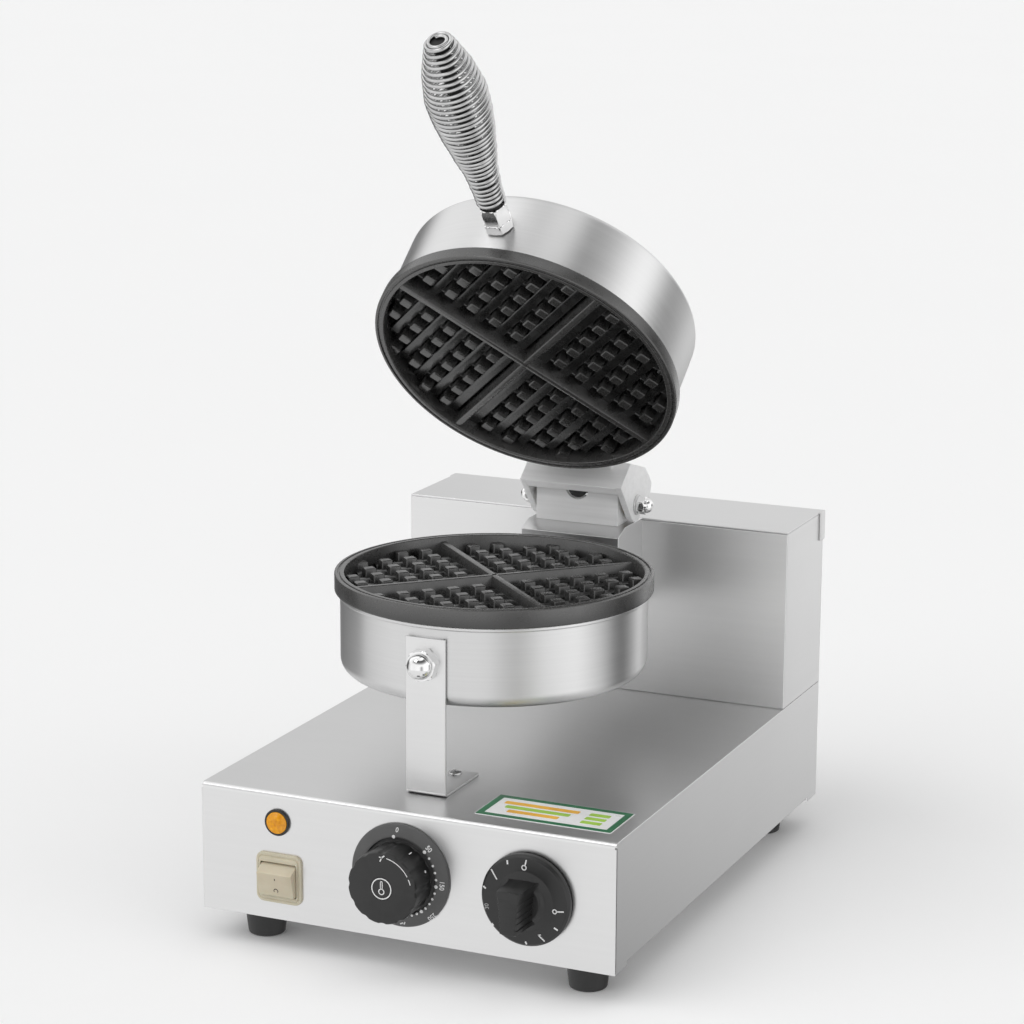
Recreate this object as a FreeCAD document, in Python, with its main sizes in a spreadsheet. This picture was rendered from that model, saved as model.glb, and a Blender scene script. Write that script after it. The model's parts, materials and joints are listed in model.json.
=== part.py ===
"""Single round waffle iron: a sheet-metal base with its controls, a fixed lower iron,
and an upper iron that hinges at the back and carries a coiled-wire handle.

Frame: +Z up, the controls face -Y, the origin is at floor level below the centre of the base.
The lid's pieces are drawn with the lid shut, and one placement swings them to the open rest pose.
"""
import FreeCAD, Part
import math
import os
import re
import Sketcher

DIMENSIONS = {
    # base box and feet
    "base_width": 250, "base_depth": 336, "base_height": 74, "sheet": 1.2, "fold_radius": 3,
    "flange_width": 16, "cover_inset": 10, "cover_thickness": 1,
    "foot_height": 19, "foot_x": 99, "foot_y": 142, "foot_top_radius": 13, "foot_tread_radius": 10.5,
    "foot_recess_radius": 5, "foot_recess_depth": 11, "foot_screw_radius": 2.2,
    # rear housing
    "housing_front": 100, "housing_height": 110, "housing_flange": 12,
    "cover_tab_drop": 18, "cover_tab_depth": 8,
    # irons: each is a cast plate on a sheet-metal drum
    "iron_y": -48.7, "face_height": 201, "plate_radius": 91, "lower_rim": 10.4, "upper_rim": 8,
    "cavity_radius": 85.5, "cavity_floor_radius": 84, "cavity_depth": 12, "casting_floor": 6,
    "spigot_radius": 86.3, "plate_gap": 0.4, "rim_groove_radius": 88.6, "rim_groove_width": 1.2,
    "rim_groove_depth": 0.9,
    "peg_pitch": 15, "peg_top": 6.4, "peg_foot": 8, "peg_height": 8, "bar_top": 6.4, "bar_foot": 7.4,
    "bar_height": 3.8, "divider_top": 3.6, "divider_foot": 8.4, "lower_divider_drop": 2.7,
    "upper_divider_drop": 1,
    "drum_radius": 87.8, "drum_sheet": 1, "lower_drum_height": 46.7, "upper_drum_height": 45,
    "lower_drum_round": 8, "upper_drum_round": 4, "lip_radius": 89.3, "lip_height": 2.2,
    # heating parts inside each drum
    "element_ring_radius": 58, "element_tube_radius": 4, "clamp_radius": 75, "clamp_thickness": 1.5,
    "insulation_radius": 78, "insulation_gap": 8.5,
    "plate_screw_circle": 30, "plate_screw_radius": 2.5, "plate_screw_length": 12,
    "plate_screw_head": 4.5, "plate_screw_head_height": 3,
    # front leg of the lower iron
    "leg_x": -0.6, "leg_width": 24, "leg_thickness": 1.8, "leg_height": 90, "leg_foot_length": 44,
    "leg_screw_y": -100, "leg_nut_height": 168.7, "leg_stud_radius": 4,
    "leg_nut_corner_radius": 9.4, "leg_nut_thickness": 6.5, "leg_nut_dome": 7.4,
    # hinge
    "hinge_y": 87.2, "hinge_z": 214, "lid_open": 50.9, "pin_radius": 3, "running_gap": 0.05,
    "cheek_inner": 29, "cheek_outer": 33, "cheek_toe_radius": 10.6, "web_front": 107.7,
    "web_thickness": 6, "cheek_back_y": 13.3, "cheek_back_z": 16.2, "cheek_heel_y": 8.9,
    "cheek_heel_z": 24.4, "cheek_crown_y": 2, "cheek_crown_z": 24.6, "cheek_brow_y": 7.7,
    "cheek_brow_z": 23.2, "roof_sheet": 3.2, "arm_width": 44, "arm_low": 16, "arm_high": 32,
    "arm_bore_radius": 6, "arm_root": 8, "clevis_screw_x": 14,
    "pedestal_half_width": 31.7, "pedestal_front": 61, "pedestal_bottom": 150, "pedestal_slope": 4.4,
    "neck_front": 72, "neck_half_width": 26.6, "neck_sheet": 3, "neck_top": 10, "neck_notch_radius": 7.6,
    "neck_notch_low": 3.3, "duct_half_width": 20, "duct_low": 152, "duct_high": 180,
    "bush_radius": 5, "bush_flange_radius": 7, "hinge_clearance": 0.3,
    "washer_radius": 6.2, "washer_thickness": 1, "pin_nut_corner_radius": 5.6, "pin_nut_thickness": 5,
    "pin_nut_dome": 4.4,
    # handle
    "handle_rise": 27, "handle_tilt": 2.7, "handle_length": 134, "handle_nut_length": 17,
    "handle_nut_corner_radius": 9, "rod_radius": 4, "wire_thickness": 2.2, "coil_turns": 36,
    "coil_root_radius": 7.9, "coil_tip_radius": 7.6,
    # indicator lamp and switch
    "lamp_x": -77, "lamp_z": 76.1, "lamp_bezel_radius": 7.7, "lamp_bezel_thickness": 1.6,
    "lamp_lens_radius": 6.25, "lamp_tube_radius": 5.4, "lamp_tube_length": 16,
    "switch_x": -76.2, "switch_z": 43.6, "switch_width": 28.4, "switch_height": 29,
    "switch_corner": 4.5, "switch_flange": 2.2, "collar_width": 24.6, "collar_height": 23,
    "collar_depth": 6.5, "rocker_drop": 0.5, "rocker_opening_width": 22.4,
    "rocker_opening_height": 19.4, "rocker_width": 21.8, "rocker_half_height": 9.5,
    "rocker_face_half_height": 7.2, "rocker_rise": 8.9, "rocker_shoulder": 1, "rocker_keel": 2.4,
    "rocker_tilt": 12.5, "rocker_pivot_depth": 2.4, "rocker_pin_radius": 1.2,
    # thermostat and timer
    "thermostat_x": -1, "thermostat_z": 57, "dial_radius": 29.5, "dial_thickness": 3.5,
    "dial_recess_radius": 22, "dial_recess_depth": 2.6, "knob_radius": 20.6, "knob_front": 24.5,
    "knob_back": 4.1, "knob_flutes": 12, "knob_flute_radius": 4, "knob_flute_depth": 0.8,
    "shaft_radius": 3, "shaft_length": 34, "cap_radius": 6.4, "cap_thickness": 0.5,
    "timer_x": 74.7, "timer_z": 55.4, "timer_disc_radius": 25.7, "timer_disc_thickness": 5,
    "timer_disc_gap": 0.8, "grip_width": 13.4, "grip_length": 25, "grip_height": 22, "grip_draft": 1.5,
    "control_screw_spacing": 14, "control_screw_radius": 2, "control_screw_head": 3.4,
    # cable gland at the back
    "gland_x": 70, "gland_z": 52, "gland_bore": 4, "gland_thread_radius": 8, "gland_reach": 27.8,
    "gland_corner_radius": 11, "gland_hex_length": 6,
    # wiring
    "terminal_x": -45, "terminal_y": 115, "terminal_width": 50, "terminal_depth": 20,
    "terminal_height": 16, "capillary_radius": 0.9, "capillary_bend": 8, "bulb_radius": 3,
    "bulb_length": 70, "bulb_x": 10, "bulb_y": -13, "bulb_z": 170.4, "lead_radius": 2.4, "lead_bend": 6,
    # rating plate on the base
    "label_x": 76, "label_y": -136.5, "label_width": 80, "label_depth": 35, "label_thickness": 0.4,
}

BASE_TOP = "(foot_height + base_height)"
FRONT = "(-base_depth / 2)"
REAR = "(base_depth / 2)"
HOUSING_TOP = "(foot_height + base_height + housing_height)"
UPPER_FACE = "(face_height + plate_gap)"
LOWER_DRUM_BOTTOM = "(face_height - lower_rim - lower_drum_height)"
DRUM_FRONT = "(iron_y - drum_radius)"

X_AXIS = "vector(1; 0; 0)"
Y_AXIS = "vector(0; 1; 0)"
Z_AXIS = "vector(0; 0; 1)"
TOWARDS_FRONT = (X_AXIS, "90")
TOWARDS_REAR = (X_AXIS, "-90")
UPSIDE_DOWN = (X_AXIS, "180")

document = FreeCAD.newDocument("WaffleIron")
sheet = document.addObject("Spreadsheet::Sheet", "Dimensions")
for row, (alias, value) in enumerate(DIMENSIONS.items(), start=1):
    sheet.set(f"A{row}", alias)
    sheet.set(f"B{row}", str(value))
    sheet.setAlias(f"B{row}", alias)
document.recompute()

ALIAS = re.compile(r"\b(" + "|".join(DIMENSIONS) + r")\b")
nodes = {}


def from_sheet(formula):
    """The formula with every dimension's name pointing at its cell."""
    return ALIAS.sub(r"Dimensions.\1", str(formula))


def bind(item, **formulas):
    for name, formula in formulas.items():
        item.setExpression(name, from_sheet(formula))


def place(item, x="0", y="0", z="0", turn=(Z_AXIS, "0"), lid=False, face_down=False):
    """Bind where an object lies; a piece of the lid then swings with the lid's frame."""
    axis, angle = turn
    spot = from_sheet(f"placement(vector({x}; {y}; {z}); rotation({axis}; {angle}))")
    if face_down:
        spot += f" * placement(vector(0; 0; 0); rotation({X_AXIS}; 180))"
    item.setExpression("Placement", f"lid_frame.Placement * {spot}" if lid else spot)


def add(kind, name, at=(), turn=(Z_AXIS, "0"), **sizes):
    item = document.addObject(kind, name)
    bind(item, **sizes)
    if at or turn[1] != "0":
        place(item, *at, turn=turn)
    return item


def block(name, low, high):
    """A box between two corners, each a tuple of three formulas."""
    size = [f"{end} - ({start})" for start, end in zip(low, high)]
    return add("Part::Box", name, at=low, Length=size[0], Width=size[1], Height=size[2])


def rod(name, radius, length, at=(), turn=(Z_AXIS, "0")):
    return add("Part::Cylinder", name, at=at, turn=turn, Radius=radius, Height=length)


def hexagon(name, corner_radius, length, at=(), turn=(Z_AXIS, "0")):
    item = add("Part::Prism", name, at=at, turn=turn, Circumradius=corner_radius, Height=length)
    item.Polygon = 6
    return item


def fuse(name, *pieces):
    item = document.addObject("Part::MultiFuse", name)
    item.Shapes = list(pieces)
    return item


def group(name, pieces):
    item = document.addObject("Part::Compound", name)
    item.Links = list(pieces)
    return item


def cut(name, stock, *tools):
    item = document.addObject("Part::Cut", name)
    item.Base = stock
    item.Tool = tools[0] if len(tools) == 1 else group(f"{name}_tools", tools)
    return item


def common(name, *pieces):
    item = document.addObject("Part::MultiCommon", name)
    item.Shapes = list(pieces)
    return item


def copies(name, original, spots, lid=False):
    """Identical pieces as links to one original; each spot is (x, y, z) or (x, y, z, turn)."""
    links = []
    for index, spot in enumerate(spots):
        link = document.addObject("App::Link", f"{name}_{index}")
        link.LinkedObject = original
        place(link, *spot[:3], turn=spot[3] if len(spot) > 3 else (Z_AXIS, "0"), lid=lid)
        links.append(link)
    return group(name, links)


def finish(item, label=None):
    """Register a finished sub-part under its node name."""
    item.Label = label or item.Name
    nodes[item.Label] = item
    return item


def plane(body, role):
    return next(feature for feature in body.Origin.OriginFeatures if feature.Role == role)


def outline(body, name, role, points):
    """A closed sketch through the points, both coordinates of each bound to the sheet."""
    sketch = body.newObject("Sketcher::SketchObject", name)
    sketch.AttachmentSupport = (plane(body, role), [""])
    sketch.MapMode = "FlatFace"
    places = [[sheet_value(formula) for formula in point] for point in points]
    count = len(points)
    for index in range(count):
        start = FreeCAD.Vector(*places[index], 0)
        end = FreeCAD.Vector(*places[(index + 1) % count], 0)
        sketch.addGeometry(Part.LineSegment(start, end), False)
    for index in range(count):
        sketch.addConstraint(Sketcher.Constraint("Coincident", index, 2, (index + 1) % count, 1))
    for index, point in enumerate(points):
        for kind, formula, value in zip(("DistanceX", "DistanceY"), point, places[index]):
            number = sketch.addConstraint(Sketcher.Constraint(kind, index, 1, value))
            sketch.setExpression(f"Constraints[{number}]", from_sheet(formula))
    return sketch


def sheet_value(formula):
    """The formula's present value, used to start a sketch point in the right place."""
    return float(sheet.evalExpression(ALIAS.sub(r"\1", str(formula))))


def turned(name, points):
    """A body of revolution about Z; the points are (radius, height)."""
    body = document.addObject("PartDesign::Body", name)
    sketch = outline(body, f"{name}_profile", "XZ_Plane", points)
    revolution = body.newObject("PartDesign::Revolution", f"{name}_turn")
    revolution.Profile = sketch
    revolution.ReferenceAxis = (sketch, ["V_Axis"])
    revolution.Angle = 360
    return body


def padded(name, role, points, length, midplane=True):
    """A body padded from an outline on one of its own origin planes."""
    body = document.addObject("PartDesign::Body", name)
    sketch = outline(body, f"{name}_outline", role, points)
    pad = body.newObject("PartDesign::Pad", f"{name}_pad")
    pad.Profile = sketch
    pad.SideType = 2 if midplane else 0
    bind(pad, Length=length)
    return body


def fillet_edges(body, chosen, radius):
    """Round the edges of a body's last feature that pass the test."""
    document.recompute()
    base = body.Tip
    names = [f"Edge{number}" for number, edge in enumerate(base.Shape.Edges, start=1) if chosen(edge)]
    fillet = body.newObject("PartDesign::Fillet", f"{body.Name}_round_{len(body.Group)}")
    fillet.Base = (base, names)
    bind(fillet, Radius=radius)
    return body


def screw(name, shank, length, head, head_height):
    """A pan-head screw pointing up +Z, the underside of its head at z = 0."""
    return turned(name, [
        ("0", f"-({head_height})"), (head, f"-({head_height})"), (head, "0"), (shank, "0"),
        (shank, length), ("0", length),
    ])


def acorn_nut(name, corner_radius, thickness, dome, bore, depth):
    """A domed nut pointing up +Z, seated at z = 0, with a blind bore for its stud."""
    nut = hexagon(f"{name}_hex", corner_radius, thickness)
    ball = add("Part::Sphere", f"{name}_dome", at=("0", "0", thickness), Radius=dome)
    below = rod(f"{name}_below", f"2 * {dome}", f"2 * {dome}", at=("0", "0", f"-2 * {dome}"))
    hole = rod(f"{name}_bore", bore, f"{depth} + 1", at=("0", "0", "-1"))
    solid = cut(f"{name}_trimmed", fuse(f"{name}_solid", nut, ball), below)
    return cut(name, solid, hole)


def tube(name, points, radius, bend):
    """A round tube along straight runs joined by tangent arcs; points and sizes are numbers."""
    corners = [FreeCAD.Vector(*point) for point in points]
    edges = []
    start = corners[0]
    for before, corner, after in zip(corners, corners[1:], corners[2:]):
        inward = (before - corner).normalize()
        outward = (after - corner).normalize()
        half_turn = (math.pi - inward.getAngle(outward)) / 2
        setback = bend * math.tan(half_turn)
        first = corner + inward * setback
        last = corner + outward * setback
        middle = corner + (inward + outward).normalize() * (bend / math.cos(half_turn) - bend)
        edges.append(Part.LineSegment(start, first).toShape())
        edges.append(Part.Arc(first, middle, last).toShape())
        start = last
    edges.append(Part.LineSegment(start, corners[-1]).toShape())
    path = Part.Wire(edges)
    ring = Part.Circle(corners[0], corners[1] - corners[0], radius).toShape()
    item = document.addObject("Part::Feature", name)
    item.Shape = path.makePipeShell([Part.Wire([ring])], True, True)
    return item


# ---------------------------------------------------------------- lid frame
lid_frame = document.addObject("Part::Feature", "lid_frame")
lid_frame.setExpression("Placement", from_sheet(
    f"placement(vector(0; hinge_y; hinge_z); rotation({X_AXIS}; -lid_open))"
    f" * placement(vector(0; -hinge_y; -hinge_z); rotation({X_AXIS}; 0))"))


# ---------------------------------------------------------------- fixing spots
COVER_SCREWS = [(f"{side} * (base_width / 2 - flange_width + 2)", y)
                for side in (-1, 1) for y in ("-90", "90")]
COVER_SCREWS += [("0", f"{side} * (base_depth / 2 - flange_width + 2)") for side in (-1, 1)]
FEET = {
    "foot_front_left": ("-foot_x", "-foot_y"), "foot_front_right": ("foot_x", "-foot_y"),
    "foot_rear_left": ("-foot_x", "foot_y"), "foot_rear_right": ("foot_x", "foot_y"),
}
REAR_SCREWS = [(f"{side} * (base_width / 2 - housing_flange / 2 - sheet)", f"{BASE_TOP} + {height}")
               for side in (-1, 1) for height in ("15", "housing_height - 18")]
SCREW_ANGLES = (90, 210, 330)


# ---------------------------------------------------------------- base
def base_shell():
    """Folded box, open below, with an inward flange round its bottom and the control cut-outs."""
    half, bottom, top = "base_width / 2", "foot_height", BASE_TOP
    outer = padded("base_outer", "YZ_Plane", [
        (FRONT, bottom), (REAR, bottom), (REAR, top), (FRONT, top)], "base_width")
    fillet_edges(outer, lambda edge: is_top_front(edge, -DIMENSIONS["base_depth"] / 2), "fold_radius")
    inner = padded("base_inner", "YZ_Plane", [
        (f"{FRONT} + sheet", f"{bottom} + sheet"), (f"{REAR} - sheet", f"{bottom} + sheet"),
        (f"{REAR} - sheet", f"{top} - sheet"), (f"{FRONT} + sheet", f"{top} - sheet")],
        "base_width - 2 * sheet")
    fillet_edges(inner, lambda edge: is_top_front(edge, -DIMENSIONS["base_depth"] / 2
                                                  + DIMENSIONS["sheet"]), "fold_radius - sheet")
    inset = "sheet + flange_width"
    mouth = block("base_mouth", (f"-{half} + {inset}", f"{FRONT} + {inset}", "0"),
                  (f"{half} - {inset}", f"{REAR} - ({inset})", f"{bottom} + 2 * sheet"))
    across, upright = "(collar_width / 2 + 0.1)", "(collar_height / 2 + 0.1)"
    switch_hole = block("base_switch_hole",
                        (f"switch_x - {across}", f"{FRONT} - 1", f"switch_z - {upright}"),
                        (f"switch_x + {across}", f"{FRONT} + 3", f"switch_z + {upright}"))
    front_holes = [front_hole("base_lamp_hole", "lamp_x", "lamp_z", "lamp_tube_radius + 0.2")]
    for control in ("thermostat", "timer"):
        centre, level = f"{control}_x", f"{control}_z"
        front_holes.append(front_hole(f"base_{control}_hole", centre, level, "shaft_radius + 2.5"))
        for side in (-1, 1):
            front_holes.append(front_hole(f"base_{control}_screw_hole_{side + 1}",
                                          f"{centre} + {side} * control_screw_spacing", level,
                                          "control_screw_radius + running_gap"))
    rear_hole = rod("base_gland_hole", "gland_thread_radius + 0.1", "4",
                    at=("gland_x", f"{REAR} - 3", "gland_z"), turn=TOWARDS_REAR)
    harness_hole = block("base_harness_hole", ("-60", "housing_front + 15", f"{top} - 3"),
                         ("60", f"{REAR} - 13", f"{top} + 1"))
    leg_hole = rod("base_leg_hole", "control_screw_radius + running_gap", "6",
                   at=("leg_x", "leg_screw_y", f"{top} - 3"))
    flange_holes = [rod(f"base_flange_hole_{index}", "control_screw_radius + running_gap", "6",
                        at=(x, y, f"{bottom} - 2"))
                    for index, (x, y) in enumerate(COVER_SCREWS)]
    finish(cut("base_shell", outer, inner, mouth, switch_hole, *front_holes, rear_hole,
               harness_hole, leg_hole, *flange_holes))


def is_top_front(edge, front):
    """The long edge along X at the top front fold."""
    box = edge.BoundBox
    flat = box.YLength < 1e-6 and box.ZLength < 1e-6
    middle = DIMENSIONS["foot_height"] + DIMENSIONS["base_height"] / 2
    return flat and abs(box.YMin - front) < 1e-6 and box.ZMin > middle


def front_hole(name, x, z, radius):
    return rod(name, radius, "6", at=(x, f"{FRONT} + 3", z), turn=TOWARDS_FRONT)


def base_bottom():
    """Bottom cover with vent slots and weld nuts for the feet, held by small screws."""
    low, high = "foot_height - cover_thickness", "foot_height"
    plate = block("cover_blank", ("-base_width / 2 + cover_inset", f"{FRONT} + cover_inset", low),
                  ("base_width / 2 - cover_inset", f"{REAR} - cover_inset", high))
    bosses = [rod(f"cover_boss_{index}", "2.5 * foot_screw_radius", "5", at=(x, y, low))
              for index, (x, y) in enumerate(FEET.values())]
    foot_holes = [rod(f"cover_foot_hole_{index}", "foot_screw_radius + running_gap", "9",
                      at=(x, y, f"{low} - 1")) for index, (x, y) in enumerate(FEET.values())]
    screw_holes = [rod(f"cover_screw_hole_{index}", "control_screw_radius + running_gap", "4",
                       at=(x, y, f"{low} - 1")) for index, (x, y) in enumerate(COVER_SCREWS)]
    slots = [block(f"cover_slot_{index}", (f"{12 * index - 54} - 2", "-30", f"{low} - 1"),
                   (f"{12 * index - 54} + 2", "30", f"{high} + 1")) for index in range(10)]
    finish(cut("base_bottom_cover", fuse("cover_solid", plate, *bosses),
               *foot_holes, *screw_holes, *slots))


def cover_screws():
    """The same pan-head screw holds the bottom cover and the rear cover."""
    fixing = screw("cover_screw", "control_screw_radius", "8", "control_screw_head", "2.2")
    low = "foot_height - cover_thickness"
    below = [(x, y, low) for x, y in COVER_SCREWS]
    behind = [(x, REAR, z, TOWARDS_FRONT) for x, z in REAR_SCREWS]
    finish(copies("cover_screws", fixing, below + behind))


def feet():
    """Tapered rubber feet, each with a recess for its fixing screw."""
    top = "foot_height - cover_thickness"
    for label, (x, y) in FEET.items():
        foot = turned(label, [
            ("foot_recess_radius", "0"), ("foot_tread_radius - 1.5", "0"),
            ("foot_tread_radius", "1.5"), ("foot_top_radius - 0.4", f"{top} - 4"),
            ("foot_top_radius", f"{top} - 3"), ("foot_top_radius", top),
            ("foot_screw_radius + running_gap", top),
            ("foot_screw_radius + running_gap", "foot_recess_depth"),
            ("foot_recess_radius", "foot_recess_depth")])
        place(foot, x, y)
        finish(foot)
    fixing = screw("foot_screw", "foot_screw_radius", "14", "foot_recess_radius - 0.6", "3")
    finish(copies("foot_screws", fixing, [(x, y, "foot_recess_depth") for x, y in FEET.values()]))


# ---------------------------------------------------------------- rear housing
def rear_housing():
    """Front and side walls in one folded sheet, and a second sheet that is the top and the back."""
    half, low, top = "base_width / 2", BASE_TOP, HOUSING_TOP
    outer = block("housing_outer", (f"-{half}", "housing_front", low),
                  (half, f"{REAR} - sheet", f"{top} - sheet"))
    inner = block("housing_inner", (f"-{half} + sheet", "housing_front + sheet", f"{low} - 1"),
                  (f"{half} - sheet", f"{REAR} + 1", f"{top} + 1"))
    window = block("housing_window", ("-duct_half_width", "housing_front - 1", "duct_low"),
                   ("duct_half_width", "housing_front + 3", f"{top} - 7"))
    wall = f"({half} - sheet)"
    flange_spans = [(f"-{wall}", f"-{wall} + housing_flange"), (f"{wall} - housing_flange", wall)]
    flanges = [block(f"housing_flange_{index}", (start, f"{REAR} - 2 * sheet", low),
                     (end, f"{REAR} - sheet", f"{top} - sheet"))
               for index, (start, end) in enumerate(flange_spans)]
    holes = [rod(f"housing_screw_hole_{index}", "control_screw_radius + running_gap", "6",
                 at=(x, f"{REAR} - 4", z), turn=TOWARDS_REAR) for index, (x, z) in enumerate(REAR_SCREWS)]
    walls = cut("housing_walls", outer, inner, window)
    finish(cut("rear_housing_shell", fuse("housing_solid", walls, *flanges), *holes))

    roof = block("housing_roof", (f"-{half}", "housing_front", f"{top} - sheet"), (half, REAR, top))
    back = block("housing_back", (f"-{half}", f"{REAR} - sheet", low), (half, REAR, top))
    tab_spans = [(f"-{half} - sheet", f"-{half}"), (half, f"{half} + sheet")]
    tabs = [block(f"housing_tab_{index}",
                  (start, f"{REAR} - cover_tab_depth", f"{top} - cover_tab_drop"), (end, REAR, top))
            for index, (start, end) in enumerate(tab_spans)]
    cover_holes = [rod(f"housing_cover_hole_{index}", "control_screw_radius + running_gap", "3",
                       at=(x, f"{REAR} - 2", z), turn=TOWARDS_REAR)
                   for index, (x, z) in enumerate(REAR_SCREWS)]
    finish(cut("rear_housing_cover", fuse("housing_cover_solid", roof, back, *tabs), *cover_holes))


def cable_gland():
    """Cable gland through the base's back wall, with its locknut inside; its bore is the cord inlet."""
    length = "gland_reach + 10"
    thread = rod("gland_thread", "gland_thread_radius", length)
    collar = hexagon("gland_collar", "gland_corner_radius", "gland_hex_length", at=("0", "0", "10"))
    dome = rod("gland_dome", "gland_corner_radius - 1.6", "gland_reach - gland_hex_length - 1",
               at=("0", "0", "10 + gland_hex_length"))
    bore = rod("gland_bore_tool", "gland_bore", f"{length} + 2", at=("0", "0", "-1"))
    gland = cut("cord_gland", fuse("gland_solid", thread, collar, dome), bore)
    place(gland, "gland_x", f"{REAR} - 10", "gland_z", turn=TOWARDS_REAR)
    finish(gland)
    nut = cut("cord_gland_locknut", hexagon("locknut_hex", "gland_corner_radius", "4"),
              rod("locknut_bore", "gland_thread_radius", "6", at=("0", "0", "-1")))
    place(nut, "gland_x", f"{REAR} - sheet - 4", "gland_z", turn=TOWARDS_REAR)
    finish(nut)


# ---------------------------------------------------------------- irons
def prism(name, top_width, foot_width, height, half_length, offset="0"):
    """A drafted bar along Y standing on z = 0."""
    return add("Part::Wedge", name, turn=TOWARDS_FRONT,
               Xmin=f"{offset} - {foot_width} / 2", Xmax=f"{offset} + {foot_width} / 2",
               X2min=f"{offset} - {top_width} / 2", X2max=f"{offset} + {top_width} / 2",
               Ymin="0", Ymax=height, Zmin=f"-{half_length}", Zmax=half_length,
               Z2min=f"-{half_length}", Z2max=half_length)


def crosswise(name, original):
    """The same objects turned a quarter turn about Z."""
    link = document.addObject("App::Link", name)
    link.LinkedObject = original
    place(link, turn=(Z_AXIS, "90"))
    return link


def rows(steps):
    """Where the spaces between two rows of pegs lie, on both sides of the divider."""
    return [f"({sign * (step + 0.5)} * peg_pitch)" for sign in (-1, 1) for step in steps]


def waffle_plate(side, rim, divider_drop):
    """Cast plate: a shallow cup whose floor, at z = 0, carries pegs, low bars and two dividers."""
    face = "cavity_depth"
    groove_in = "rim_groove_radius - rim_groove_width / 2"
    groove_out = "rim_groove_radius + rim_groove_width / 2"
    cup = turned(f"{side}_cup", [
        ("0", "-casting_floor"), ("spigot_radius", "-casting_floor"), ("spigot_radius", f"{face} - {rim}"),
        ("plate_radius", f"{face} - {rim}"), ("plate_radius", face), (groove_out, face),
        (groove_out, f"{face} - rim_groove_depth"), (groove_in, f"{face} - rim_groove_depth"),
        (groove_in, face), ("cavity_radius", face), ("cavity_floor_radius", "0"), ("0", "0")])
    grooves = [prism(f"{side}_groove_{index}", "(peg_pitch - peg_top)", "(peg_pitch - peg_foot)",
                     "peg_height", "cavity_radius", row) for index, row in enumerate(rows(range(1, 6)))]
    centre = prism(f"{side}_clearing", "(2 * peg_pitch - peg_top)", "(2 * peg_pitch - peg_foot)",
                   "peg_height", "cavity_radius")
    along = group(f"{side}_grooves", grooves + [centre])
    stock = rod(f"{side}_peg_stock", "cavity_radius - 0.1", "peg_height")
    rows_left = cut(f"{side}_pegs_rows", stock, along)
    pegs = cut(f"{side}_pegs_cut", rows_left, crosswise(f"{side}_across", along))
    bars = [prism(f"{side}_bar_{index}", "bar_top", "bar_foot", "bar_height", "cavity_radius", row)
            for index, row in enumerate(rows(range(5)))]
    low_bars = common(f"{side}_low_bars", group(f"{side}_bars", bars),
                      rod(f"{side}_bar_stock", "cavity_radius - 0.1", "bar_height"))
    divider = prism(f"{side}_divider", "divider_top", "divider_foot", f"{face} - {divider_drop}",
                    "(cavity_radius + 0.5)")
    dividers = group(f"{side}_divider_pair", [divider])
    across = crosswise(f"{side}_divider_across", dividers)
    return fuse(f"{side}_casting", cup, pegs, low_bars, dividers, across)


def screw_circle(angle):
    return f"plate_screw_circle * cos({angle})", f"plate_screw_circle * sin({angle})"


def heating_parts(side, floor, up, lid):
    """Element, clamp plate and screws behind one plate; up is 1 above the plate, -1 below it."""
    back = f"{floor} + {up} * casting_floor"
    ring = add("Part::Torus", f"{side}_heating_element", Radius1="element_ring_radius",
               Radius2="element_tube_radius")
    place(ring, y="iron_y", z=f"{back} + {up} * element_tube_radius", lid=lid)
    finish(ring)
    seat = f"{back} + {up} * 2 * element_tube_radius"
    far_side = f"{seat} + {up} * clamp_thickness"
    disc = rod(f"{side}_clamp_disc", "clamp_radius", "clamp_thickness")
    holes = [rod(f"{side}_clamp_hole_{angle}", "plate_screw_radius + running_gap", "6",
                 at=(*screw_circle(angle), "-1")) for angle in SCREW_ANGLES]
    clamp = cut(f"{side}_clamp_plate", disc, *holes)
    place(clamp, y="iron_y", z=seat if up > 0 else far_side, lid=lid)
    finish(clamp)
    fixing = screw(f"{side}_plate_screw", "plate_screw_radius", "plate_screw_length",
                   "plate_screw_head", "plate_screw_head_height")
    turn = UPSIDE_DOWN if up > 0 else (Z_AXIS, "0")
    spots = [screw_circle(angle) for angle in SCREW_ANGLES]
    screws = copies(f"{side}_plate_screws", fixing, [(x, y, "0", turn) for x, y in spots])
    place(screws, y="iron_y", z=far_side, lid=lid)
    finish(screws)


def screw_pockets(side, angles):
    """Blind holes in the plate's back for the clamp's screws, in the plate's own frame."""
    depth = "plate_screw_length - clamp_thickness - 2 * element_tube_radius + 1"
    return [rod(f"{side}_plate_pocket_{angle}", "plate_screw_radius + running_gap", depth,
                at=(*screw_circle(angle), "-casting_floor - 0.5")) for angle in angles]


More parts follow.
